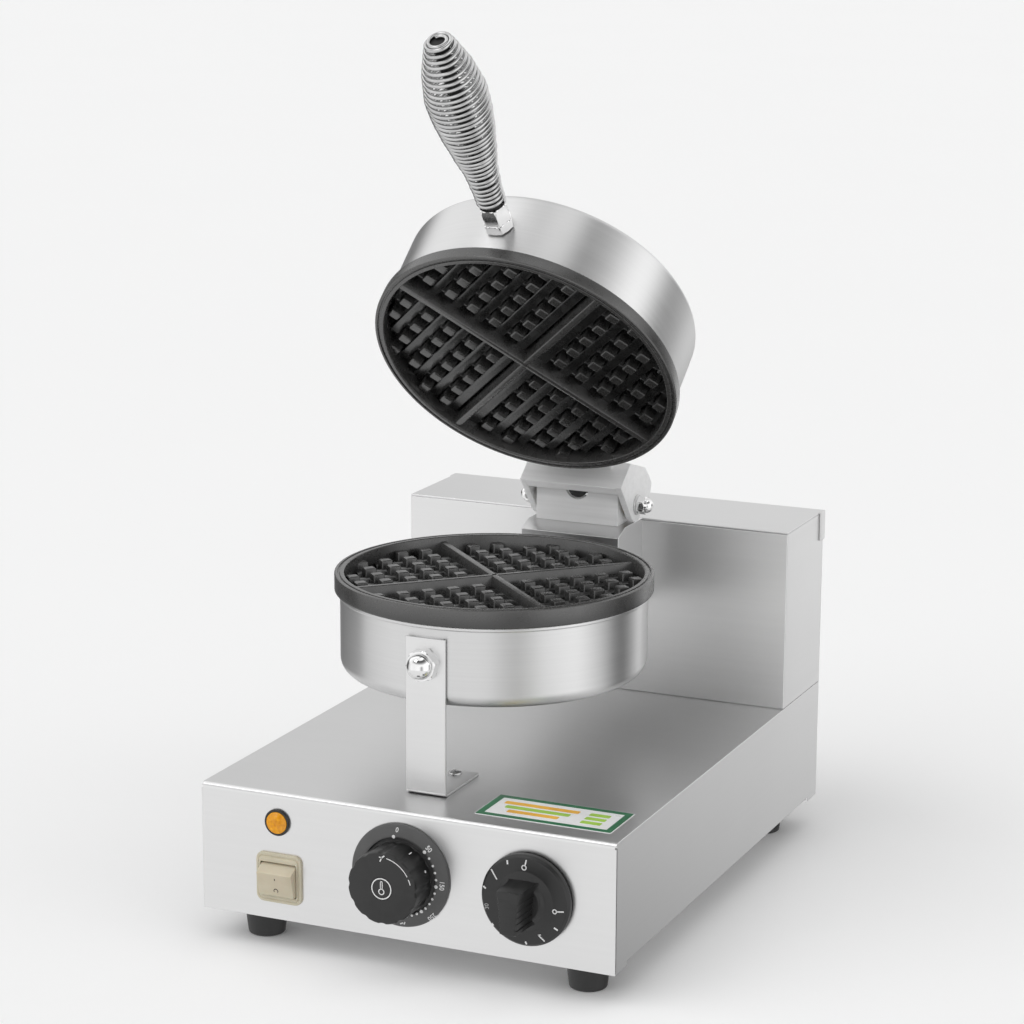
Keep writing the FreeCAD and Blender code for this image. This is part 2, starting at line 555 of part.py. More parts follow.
def lower_iron():
    floor = "(face_height - cavity_depth)"
    heating_parts("lower", floor, -1, False)
    plate = cut("lower_plate_drilled", waffle_plate("lower", "lower_rim", "lower_divider_drop"),
                *screw_pockets("lower", [45 + angle for angle in SCREW_ANGLES]))
    place(plate, y="iron_y", z=floor, turn=(Z_AXIS, "-45"))
    finish(plate, "lower_plate")
    wall, round_ = "drum_radius", "lower_drum_round"
    drum = turned("lower_drum_body", [
        ("0", "0"), (wall, "0"), (wall, "lower_drum_height - lip_height"),
        ("lip_radius", "lower_drum_height - lip_height"), ("lip_radius", "lower_drum_height"),
        (f"{wall} - drum_sheet", "lower_drum_height"), (f"{wall} - drum_sheet", "drum_sheet"),
        ("0", "drum_sheet")])
    fillet_edges(drum, lambda edge: is_ring(edge, 0, DIMENSIONS["drum_radius"]), round_)
    fillet_edges(drum, lambda edge: is_ring(edge, DIMENSIONS["drum_sheet"],
                                            DIMENSIONS["drum_radius"] - DIMENSIONS["drum_sheet"]),
                 f"{round_} - drum_sheet")
    place(drum, y="iron_y", z=LOWER_DRUM_BOTTOM)
    stud_hole = rod("lower_drum_stud_hole", "leg_stud_radius + running_gap", "10",
                    at=("leg_x", f"{DRUM_FRONT} + 6", "leg_nut_height"), turn=TOWARDS_FRONT)
    duct_hole = block("lower_drum_duct_hole",
                      ("-duct_half_width + 2", "iron_y + drum_radius - 10", "duct_low + 2"),
                      ("duct_half_width - 2", "iron_y + drum_radius + 2", "duct_high - 2"))
    finish(cut("lower_drum", drum, stud_hole, duct_hole))
    wool = rod("lower_insulation", "insulation_radius",
               "lower_drum_height + lower_rim - cavity_depth - casting_floor - 2 * element_tube_radius"
               " - clamp_thickness - insulation_gap - drum_sheet",
               at=("0", "iron_y", f"{LOWER_DRUM_BOTTOM} + drum_sheet"))
    finish(wool)


def is_ring(edge, height, radius):
    box = edge.BoundBox
    return box.ZLength < 1e-6 and abs(box.ZMin - height) < 1e-6 and abs(box.XMax - radius) < 1e-6


def front_leg():
    """Bent strip that carries the front of the lower iron, with its domed nut and foot screw."""
    front = f"{DRUM_FRONT} - leg_thickness"
    side = padded("leg_strip", "YZ_Plane", [
        (front, "0"), (f"{front} + leg_foot_length", "0"), (f"{front} + leg_foot_length", "leg_thickness"),
        (f"{front} + leg_thickness", "leg_thickness"), (f"{front} + leg_thickness", "leg_height"),
        (front, "leg_height")], "leg_width")
    place(side, "leg_x", "0", BASE_TOP)
    stud_hole = rod("leg_stud_hole", "leg_stud_radius + running_gap", "10",
                    at=("leg_x", f"{DRUM_FRONT} + 6", "leg_nut_height"), turn=TOWARDS_FRONT)
    foot_hole = rod("leg_foot_hole", "control_screw_radius + running_gap", "8",
                    at=("leg_x", "leg_screw_y", f"{BASE_TOP} - 2"))
    finish(cut("front_leg_bracket", side, stud_hole, foot_hole))
    fixing = screw("front_leg_screw", "control_screw_radius", "8", "control_screw_head + 0.6", "1.8")
    place(fixing, "leg_x", "leg_screw_y", f"{BASE_TOP} + leg_thickness", turn=UPSIDE_DOWN)
    finish(fixing)
    stud = fuse("front_leg_stud", rod("stud_shank", "leg_stud_radius", "12"),
                hexagon("stud_head", "leg_nut_corner_radius - 1", "4", at=("0", "0", "-4")))
    place(stud, "leg_x", f"{DRUM_FRONT} + drum_sheet + 0.5", "leg_nut_height", turn=TOWARDS_FRONT)
    finish(stud)
    nut = acorn_nut("front_leg_nut", "leg_nut_corner_radius", "leg_nut_thickness", "leg_nut_dome",
                    "leg_stud_radius", "10")
    place(nut, "leg_x", front, "leg_nut_height", turn=TOWARDS_FRONT)
    finish(nut)


def upper_iron():
    floor = f"({UPPER_FACE} + cavity_depth)"
    heating_parts("upper", floor, 1, True)
    plate = cut("upper_plate_drilled", waffle_plate("upper", "upper_rim", "upper_divider_drop"),
                *screw_pockets("upper", [45 - angle for angle in SCREW_ANGLES]))
    place(plate, y="iron_y", z=floor, turn=(Z_AXIS, "45"), lid=True, face_down=True)
    finish(plate, "upper_plate")
    wall, top = "drum_radius", "upper_drum_height"
    drum = turned("upper_drum_body", [
        (f"{wall} - drum_sheet", "0"), (wall, "0"), (wall, top), ("0", top),
        ("0", f"{top} - drum_sheet"), (f"{wall} - drum_sheet", f"{top} - drum_sheet")])
    fillet_edges(drum, lambda edge: is_ring(edge, DIMENSIONS["upper_drum_height"],
                                            DIMENSIONS["drum_radius"]), "upper_drum_round")
    inner_top = DIMENSIONS["upper_drum_height"] - DIMENSIONS["drum_sheet"]
    inner_wall = DIMENSIONS["drum_radius"] - DIMENSIONS["drum_sheet"]
    fillet_edges(drum, lambda edge: is_ring(edge, inner_top, inner_wall), "upper_drum_round - drum_sheet")
    level = "(handle_rise - upper_rim)"
    handle_hole = rod("upper_drum_handle_hole", "rod_radius + running_gap", "14",
                      at=("0", "-drum_radius + 6 * cos(handle_tilt)", f"{level} - 6 * sin(handle_tilt)"),
                      turn=(X_AXIS, "90 - handle_tilt"))
    middle = "(arm_low + arm_high) / 2 - upper_rim"
    wire_hole = rod("upper_drum_wire_hole", "arm_bore_radius", "12",
                    at=("0", "drum_radius - 8", middle), turn=TOWARDS_REAR)
    screw_holes = [rod(f"upper_drum_screw_hole_{side + 1}", "plate_screw_radius + running_gap", "12",
                       at=(f"{side} * clevis_screw_x", "drum_radius - 8", middle), turn=TOWARDS_REAR)
                   for side in (-1, 1)]
    drilled = cut("upper_drum", drum, handle_hole, wire_hole, *screw_holes)
    place(drilled, y="iron_y", z=f"{UPPER_FACE} + upper_rim", lid=True)
    finish(drilled)
    wool = rod("upper_insulation", "insulation_radius",
               "upper_drum_height + upper_rim - cavity_depth - casting_floor - 2 * element_tube_radius"
               " - clamp_thickness - insulation_gap - drum_sheet")
    place(wool, y="iron_y", z=f"{floor} + casting_floor + 2 * element_tube_radius + clamp_thickness"
          " + insulation_gap", lid=True)
    finish(wool)


# ---------------------------------------------------------------- hinge
def pedestal():
    """Box at the head of the rear housing that carries the neck, and the duct to the lower drum."""
    top, half = HOUSING_TOP, "pedestal_half_width"
    profile = [("pedestal_front", "pedestal_bottom"), ("housing_front", "pedestal_bottom"),
               ("housing_front", top), ("neck_front", top), ("pedestal_front", f"{top} - pedestal_slope")]
    outer = padded("pedestal_outer", "YZ_Plane", profile, f"2 * {half}")
    floor = "pedestal_bottom + sheet"
    hollow = [("pedestal_front + sheet", floor), ("housing_front + 1", floor),
              ("housing_front + 1", f"{top} - sheet"), ("neck_front", f"{top} - sheet"),
              ("pedestal_front + sheet", f"{top} - pedestal_slope - sheet")]
    inner = padded("pedestal_inner", "YZ_Plane", hollow, f"2 * ({half} - sheet)")
    duct_hole = block("pedestal_duct_hole",
                      ("-duct_half_width + sheet", "pedestal_front - 1", "duct_low + sheet"),
                      ("duct_half_width - sheet", "pedestal_front + 3", "duct_high - sheet"))
    wire_hole = block("pedestal_wire_hole", ("-8", "hinge_y - 9", f"{top} - 3"),
                      ("8", "housing_front - 1", f"{top} + 1"))
    finish(cut("hinge_pedestal", outer, inner, duct_hole, wire_hole))

    walls = block("duct_outer", ("-duct_half_width", "iron_y", "duct_low"),
                  ("duct_half_width", "pedestal_front", "duct_high"))
    bore = block("duct_inner", ("-duct_half_width + sheet", "iron_y - 1", "duct_low + sheet"),
                 ("duct_half_width - sheet", "pedestal_front + 1", "duct_high - sheet"))
    drum = rod("duct_drum", "drum_radius", "lower_drum_height", at=("0", "iron_y", LOWER_DRUM_BOTTOM))
    finish(cut("drum_duct", walls, bore, drum))


def neck():
    """Channel that stands on the pedestal, notched for the lid's wires, with a bush in each cheek."""
    top, half = HOUSING_TOP, "neck_half_width"
    crown = "hinge_z + neck_top"
    outline_points = [("neck_front", top), ("housing_front", top), ("housing_front", "hinge_z"),
                      ("hinge_y + neck_top * 0.6", crown), ("neck_front", crown)]
    outer = padded("neck_outer", "YZ_Plane", outline_points, f"2 * {half}")
    inner = block("neck_inner", (f"-({half} - neck_sheet)", "neck_front + neck_sheet", f"{top} - 1"),
                  (f"{half} - neck_sheet", "housing_front + 1", f"{crown} + 1"))
    notch = rod("neck_notch", "neck_notch_radius", "neck_sheet + 2",
                at=("0", "neck_front + neck_sheet + 1", "hinge_z + neck_notch_low + neck_notch_radius"),
                turn=TOWARDS_FRONT)
    bush_hole = rod("neck_bush_hole", "bush_radius", f"2 * {half} + 2",
                    at=(f"-{half} - 1", "hinge_y", "hinge_z"), turn=(Y_AXIS, "90"))
    finish(cut("hinge_neck", outer, inner, notch, bush_hole))

    bore, length = "pin_radius + running_gap", "neck_sheet + 1"
    flange = f"cheek_inner - {half} - hinge_clearance"
    bush = turned("bush", [
        (bore, f"-({length})"), ("bush_radius", f"-({length})"), ("bush_radius", "0"),
        ("bush_flange_radius", "0"), ("bush_flange_radius", flange), (bore, flange)])
    finish(copies("hinge_bushes", bush, [
        (half, "hinge_y", "hinge_z", (Y_AXIS, "90")), (f"-{half}", "hinge_y", "hinge_z", (Y_AXIS, "-90"))]))

    grommet = turned("grommet_ring", [
        ("3", "0"), ("neck_notch_radius - 1.2", "0"), ("neck_notch_radius - 1.2", "neck_sheet - 0.6"),
        ("3", "neck_sheet - 0.6")])
    place(grommet, "0", "neck_front + neck_sheet", "hinge_z + neck_notch_low + neck_notch_radius",
          turn=TOWARDS_FRONT)
    above = block("grommet_above", ("-neck_notch_radius", "neck_front - 1", f"{crown} - 0.4"),
                  ("neck_notch_radius", "neck_front + neck_sheet + 1", f"{crown} + neck_notch_radius"))
    finish(cut("neck_wire_grommet", grommet, above))


def clevis():
    """Fork on the back of the upper drum: two cheeks, a front web, a sloped roof and an arm."""
    cheek = document.addObject("PartDesign::Body", "clevis_cheek")
    sketch = outline(cheek, "cheek_outline", "YZ_Plane", [
        ("iron_y + web_front", f"{UPPER_FACE} + 2"), ("hinge_y", "hinge_z - cheek_toe_radius"),
        ("hinge_y + cheek_toe_radius * 0.5", "hinge_z - cheek_toe_radius * 0.866"),
        ("hinge_y + cheek_toe_radius * 0.866", "hinge_z - cheek_toe_radius * 0.5"),
        ("hinge_y + cheek_back_y", "hinge_z + cheek_back_z"),
        ("hinge_y + cheek_heel_y", "hinge_z + cheek_heel_z"),
        ("hinge_y + cheek_crown_y", "hinge_z + cheek_crown_z"),
        ("hinge_y - cheek_brow_y", "hinge_z + cheek_brow_z"),
        ("iron_y + web_front", "hinge_z + 9")])
    pad = cheek.newObject("PartDesign::Pad", "cheek_pad")
    pad.Profile = sketch
    bind(pad, Length="cheek_outer - cheek_inner")
    cheeks = copies("clevis_cheeks", cheek, [("cheek_inner", "0", "0"), ("-cheek_outer", "0", "0")])
    web = block("clevis_web", ("-cheek_inner", "iron_y + web_front", f"{UPPER_FACE} + 1.5"),
                ("cheek_inner", "iron_y + web_front + web_thickness", "hinge_z + 10"))
    roof = padded("clevis_roof", "YZ_Plane", [
        ("iron_y + web_front", "hinge_z + 9"), ("iron_y + web_front + web_thickness", "hinge_z + 9"),
        ("hinge_y - cheek_brow_y + 0.7", "hinge_z + cheek_brow_z - roof_sheet"),
        ("hinge_y + cheek_crown_y", "hinge_z + cheek_crown_z - roof_sheet"),
        ("hinge_y + cheek_crown_y", "hinge_z + cheek_crown_z"),
        ("hinge_y - cheek_brow_y", "hinge_z + cheek_brow_z")], "2 * cheek_inner")
    arm = block("clevis_arm",
                ("-arm_width / 2", "iron_y + drum_radius - arm_root", f"{UPPER_FACE} + arm_low"),
                ("arm_width / 2", "iron_y + web_front + 1", f"{UPPER_FACE} + arm_high"))
    middle = f"{UPPER_FACE} + (arm_low + arm_high) / 2"
    drum = rod("clevis_drum", "drum_radius", "upper_drum_height",
               at=("0", "iron_y", f"{UPPER_FACE} + upper_rim"))
    bore = rod("clevis_bore", "arm_bore_radius", "40", at=("0", "iron_y + drum_radius - 9", middle),
               turn=TOWARDS_REAR)
    pin_hole = rod("clevis_pin_hole", "pin_radius", "2 * cheek_outer + 2",
                   at=("-cheek_outer - 1", "hinge_y", "hinge_z"), turn=(Y_AXIS, "90"))
    screw_holes = [rod(f"clevis_screw_hole_{side + 1}", "plate_screw_radius", "14",
                       at=(f"{side} * clevis_screw_x", "iron_y + drum_radius - 5", middle),
                       turn=TOWARDS_REAR) for side in (-1, 1)]
    solid = fuse("clevis_solid", cheeks, web, roof, arm)
    fork = cut("hinge_clevis", solid, drum, bore, pin_hole, *screw_holes)
    place(fork, lid=True)
    finish(fork)
    fixing = screw("clevis_screw", "plate_screw_radius", "10", "plate_screw_head", "3")
    inside = "iron_y + drum_radius - drum_sheet - 2.4"
    finish(copies("clevis_screws", fixing, [
        (f"{side} * clevis_screw_x", inside, middle, TOWARDS_REAR) for side in (-1, 1)], lid=True))


def hinge_pin():
    """Pin through both cheeks, with a washer and a domed nut at each end."""
    reach = "cheek_outer + washer_thickness + pin_nut_thickness - 0.5"
    pin = rod("hinge_pin", "pin_radius", f"2 * ({reach})")
    place(pin, f"-({reach})", "hinge_y", "hinge_z", turn=(Y_AXIS, "90"), lid=True)
    finish(pin)
    washer = turned("washer", [("pin_radius", "0"), ("washer_radius", "0"),
                               ("washer_radius", "washer_thickness"), ("pin_radius", "washer_thickness")])
    nut = acorn_nut("pin_nut", "pin_nut_corner_radius", "pin_nut_thickness", "pin_nut_dome",
                    "pin_radius", "pin_nut_thickness - 0.5")
    ends = [(side, (Y_AXIS, f"{side} * 90")) for side in (-1, 1)]
    finish(copies("hinge_washers", washer, [
        (f"{side} * cheek_outer", "hinge_y", "hinge_z", turn) for side, turn in ends], lid=True))
    finish(copies("hinge_pin_nuts", nut, [
        (f"{side} * (cheek_outer + washer_thickness)", "hinge_y", "hinge_z", turn)
        for side, turn in ends], lid=True))


# ---------------------------------------------------------------- handle
COIL_STATIONS = [(0, 8.4), (0.2, 10.1), (0.4, 14.4), (0.63, 17.9), (0.79, 15.9), (0.93, 11.2), (1, 8)]


def handle():
    """Rod, long nut and the wire coil of the grip, drawn along +Z from the drum's wall."""
    spot = {"y": DRUM_FRONT, "z": f"{UPPER_FACE} + handle_rise", "lid": True,
            "turn": (X_AXIS, "90 - handle_tilt")}
    tip = "handle_length - wire_thickness"
    collar = "handle_nut_length + 12"
    shaft = turned("handle_rod", [
        ("0", "-8"), ("rod_radius", "-8"), ("rod_radius", "handle_nut_length + 0.5"),
        ("coil_root_radius - wire_thickness", "handle_nut_length + 0.5"),
        ("coil_root_radius - wire_thickness", collar),
        ("rod_radius", f"{collar} + 2"), ("rod_radius", f"{tip} - 3"),
        ("coil_tip_radius - wire_thickness", f"{tip} - 3"),
        ("coil_tip_radius - wire_thickness", tip), ("0", tip)])
    place(shaft, **spot)
    finish(shaft)
    nut = cut("handle_nut", hexagon("handle_nut_hex", "handle_nut_corner_radius", "handle_nut_length",
                                    at=("0", "0", "0.5")),
              rod("handle_nut_bore", "rod_radius", "handle_nut_length + 2", at=("0", "0", "-0.5")))
    place(nut, **spot)
    finish(nut)
    inner_nut = cut("handle_back_nut", hexagon("back_nut_hex", "handle_nut_corner_radius - 1.5", "4"),
                    rod("back_nut_bore", "rod_radius", "6", at=("0", "0", "-1")))
    place(inner_nut, y=f"{DRUM_FRONT} + (drum_sheet + 5) * cos(handle_tilt)",
          z=f"{UPPER_FACE} + handle_rise - (drum_sheet + 5) * sin(handle_tilt)", lid=True,
          turn=(X_AXIS, "90 - handle_tilt"))
    finish(inner_nut)
    coil = document.addObject("Part::Feature", "handle_coil")
    coil.Shape = coil_shape()
    place(coil, **spot)
    finish(coil)


def coil_shape():
    """The coil's outer and inner envelope: a ridge for each turn, swelling to the palm and closing
    at the tip, turned about Z."""
    start = DIMENSIONS["handle_nut_length"] + 0.5
    length = DIMENSIONS["handle_length"] - start
    wire = DIMENSIONS["wire_thickness"]
    turns = DIMENSIONS["coil_turns"]
    swell = Part.BSplineCurve()
    swell.interpolate([FreeCAD.Vector(radius, 0, start + part * length) for part, radius in COIL_STATIONS])
    first, last = swell.FirstParameter, swell.LastParameter
    crests = [swell.value(first + (last - first) * step / (2 * turns)) for step in range(2 * turns + 1)]
    outer = [point - FreeCAD.Vector(wire / 3 * (step % 2), 0, 0) for step, point in enumerate(crests)]
    inner = [point - FreeCAD.Vector(wire, 0, 0) for point in crests[::2]]
    rim = Part.makePolygon(outer + inner[::-1] + outer[:1])
    return Part.Face(rim).revolve(FreeCAD.Vector(), FreeCAD.Vector(0, 0, 1), 360)


# ---------------------------------------------------------------- controls
def indicator():
    """Amber lamp: a black bezel whose tube passes the panel, and its lens."""
    spot = {"x": "lamp_x", "y": FRONT, "z": "lamp_z", "turn": TOWARDS_FRONT}
    bezel = turned("indicator_bezel", [
        ("0", "-lamp_tube_length - 1"), ("lamp_tube_radius", "-lamp_tube_length - 1"),
        ("lamp_tube_radius", "0"), ("lamp_bezel_radius", "0"), ("lamp_bezel_radius", "lamp_bezel_thickness"),
        ("lamp_lens_radius + running_gap", "lamp_bezel_thickness"), ("lamp_lens_radius + running_gap", "0.4"),
        ("lamp_tube_radius - 0.8", "0.4"), ("lamp_tube_radius - 0.8", "-lamp_tube_length"),
        ("0", "-lamp_tube_length")])
    lens = turned("indicator_lens", [
        ("0", "-4"), ("lamp_tube_radius - 1", "-4"), ("lamp_tube_radius - 1", "0.4"),
        ("lamp_lens_radius", "0.4"), ("lamp_lens_radius", "1.8"), ("lamp_lens_radius - 0.9", "2.6"),
        ("0", "3")])
    for piece in (bezel, lens):
        place(piece, **spot)
        finish(piece)


def centred_block(name, width, height, low, high):
    """A box centred on Z between two heights."""
    return block(name, (f"-({width}) / 2", f"-({height}) / 2", low),
                 (f"({width}) / 2", f"({height}) / 2", high))


def power_switch():
    """Rocker switch: frame, contact block and the rocker on its own pivot pins."""
    spot = {"x": "switch_x", "y": FRONT, "z": "switch_z", "turn": TOWARDS_FRONT}
    flange = padded("switch_flange_plate", "XY_Plane", [
        ("-switch_width / 2", "-switch_height / 2"), ("switch_width / 2", "-switch_height / 2"),
        ("switch_width / 2", "switch_height / 2"), ("-switch_width / 2", "switch_height / 2")],
        "switch_flange", midplane=False)
    corners = DIMENSIONS["switch_flange"]
    fillet_edges(flange, lambda edge: abs(edge.BoundBox.ZLength - corners) < 1e-6, "switch_corner")
    collar = centred_block("switch_collar", "collar_width", "collar_height", "-collar_depth", "0")
    half_opening = "rocker_opening_height / 2"
    mouth = block("switch_mouth",
                  ("-rocker_opening_width / 2", f"-{half_opening} - rocker_drop", "-collar_depth - 1"),
                  ("rocker_opening_width / 2", f"{half_opening} - rocker_drop", "switch_flange + 1"))
    pivots = rod("switch_pivot_hole", "rocker_pin_radius + running_gap", "collar_width - 0.4",
                 at=("-(collar_width - 0.4) / 2", "-rocker_drop", "-rocker_pivot_depth"),
                 turn=(Y_AXIS, "90"))
    frame = cut("switch_frame", fuse("switch_frame_solid", flange, collar), mouth, pivots)
    place(frame, **spot)
    finish(frame)
    back = "-collar_depth - 16"
    body = centred_block("contact_block", "collar_width", "collar_height", back, "-collar_depth")
    tabs = [block(f"contact_tab_{index}", (f"{side} * 7 - 0.4", f"{row} * 6 - 3", f"{back} - 8"),
                  (f"{side} * 7 + 0.4", f"{row} * 6 + 3", back))
            for index, (side, row) in enumerate([(-1, -1), (-1, 1), (1, -1), (1, 1)])]
    contacts = fuse("switch_contacts", body, *tabs)
    place(contacts, **spot)
    finish(contacts)
    half = "rocker_half_height"
    face = "rocker_face_half_height"
    key = padded("rocker_key", "YZ_Plane", [
        (f"-{half}", "0"), (f"-{half} / 2", "-rocker_keel"), (f"{half} / 2", "-rocker_keel"),
        (half, "0"), (half, "rocker_shoulder"), (face, "rocker_rise"),
        (f"-{face}", "rocker_rise"), (f"-{half}", "rocker_shoulder")], "rocker_width")
    pins = rod("rocker_pins", "rocker_pin_radius", "collar_width - 0.8",
               at=("-(collar_width - 0.8) / 2", "0", "0"), turn=(Y_AXIS, "90"))
    rocker = fuse("switch_rocker", key, pins)
    place(rocker, "switch_x", f"{FRONT} + rocker_pivot_depth", "switch_z - rocker_drop",
          turn=(X_AXIS, "90 + rocker_tilt"))
    finish(rocker)


def control(name, size, depth):
    """Body of a rotary control behind the panel, its shaft, and where both lie."""
    spot = {"x": f"{name}_x", "y": FRONT, "z": f"{name}_z", "turn": TOWARDS_FRONT}
    case = centred_block(f"{name}_case", size, size, f"-sheet - {depth}", "-sheet - 1")
    ears = centred_block(f"{name}_ears", "2 * control_screw_spacing + 10", "12", "-sheet - 1", "-sheet")
    bush = rod(f"{name}_bush", "shaft_radius + 2", "sheet + 1", at=("0", "0", "-sheet - 1"))
    bore = rod(f"{name}_bush_bore", "shaft_radius + running_gap", "20", at=("0", "0", "-12"))
    screws = [rod(f"{name}_ear_hole_{side + 1}", "control_screw_radius + running_gap", "8",
                  at=(f"{side} * control_screw_spacing", "0", "-6.5")) for side in (-1, 1)]
    body = cut(f"{name}_body", fuse(f"{name}_solid", case, ears, bush), bore, *screws)
    place(body, **spot)
    finish(body)
    shaft = rod(f"{name}_shaft_rod", "shaft_radius", "shaft_length - 12")
    flat = block(f"{name}_shaft_flat", ("-4", "shaft_radius - 0.6", "shaft_length - 22"),
                 ("4", "shaft_radius + 1", "shaft_length"))
    shaft = cut(f"{name}_shaft", shaft, flat)
    place(shaft, f"{name}_x", f"{FRONT} + 11", f"{name}_z", turn=TOWARDS_FRONT)
    finish(shaft)
    return spot


def shaft_socket(name, low):
    """The D-shaped blind hole of a knob, cut as the shaft itself."""
    hole = rod(f"{name}_socket_round", "shaft_radius", f"shaft_length - 23 - ({low})", at=("0", "0", low))
    flat = block(f"{name}_socket_flat", ("-4", "shaft_radius - 0.6", "0"),
                 ("4", "shaft_radius + 1", "shaft_length"))
    return cut(f"{name}_socket", hole, flat)


def thermostat():
    spot = control("thermostat", "34", "26")
    dial = turned("dial_ring", [
        ("shaft_radius + 2.5", "dial_recess_depth"), ("dial_recess_radius", "dial_recess_depth"),
        ("dial_recess_radius", "0"), ("dial_radius", "0"), ("dial_radius", "dial_thickness - 1.2"),
        ("dial_radius - 1.6", "dial_thickness"), ("shaft_radius + 2.5", "dial_thickness")])
    place(dial, **spot)
    finish(dial, "thermostat_dial_plate")
    stock = turned("knob_stock", [
        ("0", "knob_back"), ("knob_radius", "knob_back"), ("knob_radius", "knob_front - 1.2"),
        ("knob_radius - 1.2", "knob_front"), ("cap_radius", "knob_front"),
        ("cap_radius", "knob_front - cap_thickness"), ("0", "knob_front - cap_thickness")])
    flute = rod("knob_flute", "knob_flute_radius", "30")
    centre = "knob_radius + knob_flute_radius - knob_flute_depth"
    flutes = copies("knob_flutes_ring", flute, [
        (f"({centre}) * cos({angle})", f"({centre}) * sin({angle})", "0")
        for angle in range(15, 375, 360 // DIMENSIONS["knob_flutes"])])
    knob = cut("thermostat_knob", stock, flutes, shaft_socket("thermostat_knob", "knob_back - 1"))
    place(knob, **spot)
    finish(knob)
    cap = rod("thermostat_knob_cap", "cap_radius", "cap_thickness")
    place(cap, "thermostat_x", f"{FRONT} - knob_front + cap_thickness", "thermostat_z", turn=TOWARDS_FRONT)
    finish(cap)


def timer():
    spot = control("timer", "44", "32")
    disc_low, disc_high = "timer_disc_gap", "timer_disc_gap + timer_disc_thickness"
    disc = turned("timer_disc", [
        ("0", "timer_disc_gap + 2.6"), ("dial_recess_radius - 2", "timer_disc_gap + 2.6"),
        ("dial_recess_radius - 2", disc_low), ("timer_disc_radius", disc_low),
        ("timer_disc_radius", f"{disc_high} - 1.6"), ("timer_disc_radius - 1.8", disc_high),
        ("0", disc_high)])
    grip = add("Part::Wedge", "timer_grip", turn=TOWARDS_FRONT,
               Xmin="-grip_width / 2 - grip_draft", Xmax="grip_width / 2 + grip_draft",
               X2min="-grip_width / 2", X2max="grip_width / 2",
               Ymin="timer_disc_gap + 3", Ymax="timer_disc_gap + timer_disc_thickness + grip_height",
               Zmin="-grip_length / 2 - 2 * grip_draft", Zmax="grip_length / 2 + 2 * grip_draft",
               Z2min="-grip_length / 2", Z2max="grip_length / 2")
    socket = shaft_socket("timer_knob", "timer_disc_gap - 1")
    knob = cut("timer_knob", fuse("timer_knob_solid", disc, grip), socket)
    place(knob, **spot)
    finish(knob)


def control_screws():
    fixing = screw("control_screw", "control_screw_radius", "6", "control_screw_head", "2")
    spots = [(f"{name}_x + {side} * control_screw_spacing", FRONT, f"{name}_z", TOWARDS_REAR)
             for name in ("thermostat", "timer") for side in (-1, 1)]
    finish(copies("control_screws", fixing, spots))


# ---------------------------------------------------------------- wiring and label
CAPILLARY_ROUTE = [
    (8, -140.8, 62), (8, -110, 62), (30, -60, 45), (30, 100, 45), (25, 134, 60), (14, 134, 150),
    (10, 112, 166), (10, 40, 166), (10, 10, 170.4), (10, -14, 170.4),
]
LEAD_ROUTE = [
    (-45, 115, 35), (-45, 115, 70), (-25, 132, 110), (-4, 130, 150), (0, 108, 172), (0, 94.5, 190),
    (0, 95.5, 217), (0, 88, 222.2), (0, 73, 222.4),
]


def wiring():
    """Terminal block, the sensor's capillary and bulb, and the lid's supply up to the neck."""
    finish(block("terminal_block",
                 ("terminal_x - terminal_width / 2", "terminal_y - terminal_depth / 2", "foot_height"),
                 ("terminal_x + terminal_width / 2", "terminal_y + terminal_depth / 2",
                  "foot_height + terminal_height")))
    capillary = tube("capillary", CAPILLARY_ROUTE, DIMENSIONS["capillary_radius"],
                     DIMENSIONS["capillary_bend"])
    bulb = rod("sensor_bulb", "bulb_radius", "bulb_length", at=("bulb_x", "bulb_y", "bulb_z"),
               turn=TOWARDS_FRONT)
    finish(fuse("thermostat_sensor", capillary, bulb))
    finish(tube("lid_supply_lead", LEAD_ROUTE, DIMENSIONS["lead_radius"], DIMENSIONS["lead_bend"]))


def rating_plate():
    low, high = BASE_TOP, f"{BASE_TOP} + label_thickness"
    finish(block("rating_plate", ("label_x - label_width / 2", "label_y - label_depth / 2", low),
                 ("label_x + label_width / 2", "label_y + label_depth / 2", high)))


base_shell()
base_bottom()
feet()
rear_housing()
cover_screws()
cable_gland()
lower_iron()
front_leg()
upper_iron()
pedestal()
neck()
clevis()
hinge_pin()
handle()
indicator()
power_switch()
thermostat()
timer()
control_screws()
wiring()
rating_plate()

document.recompute()
failed = [item.Name for item in document.Objects if {"Invalid", "Error"} & set(item.State)]
if failed:
    raise SystemExit(f"failed objects: {failed}")
os.makedirs("parts", exist_ok=True)
for label, item in nodes.items():
    shape = item.Shape
    if shape.isNull() or not shape.isValid() or not shape.Solids:
        raise SystemExit(f"{label} has no valid solid")
    shape.exportStep(f"parts/{label}.step")
    print(f"{label:26s} {len(shape.Solids):2d} solids {shape.Volume / 1000:9.2f} cm3")
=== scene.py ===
import json
import math
import random

import bmesh
import bpy
from mathutils import Matrix, Vector

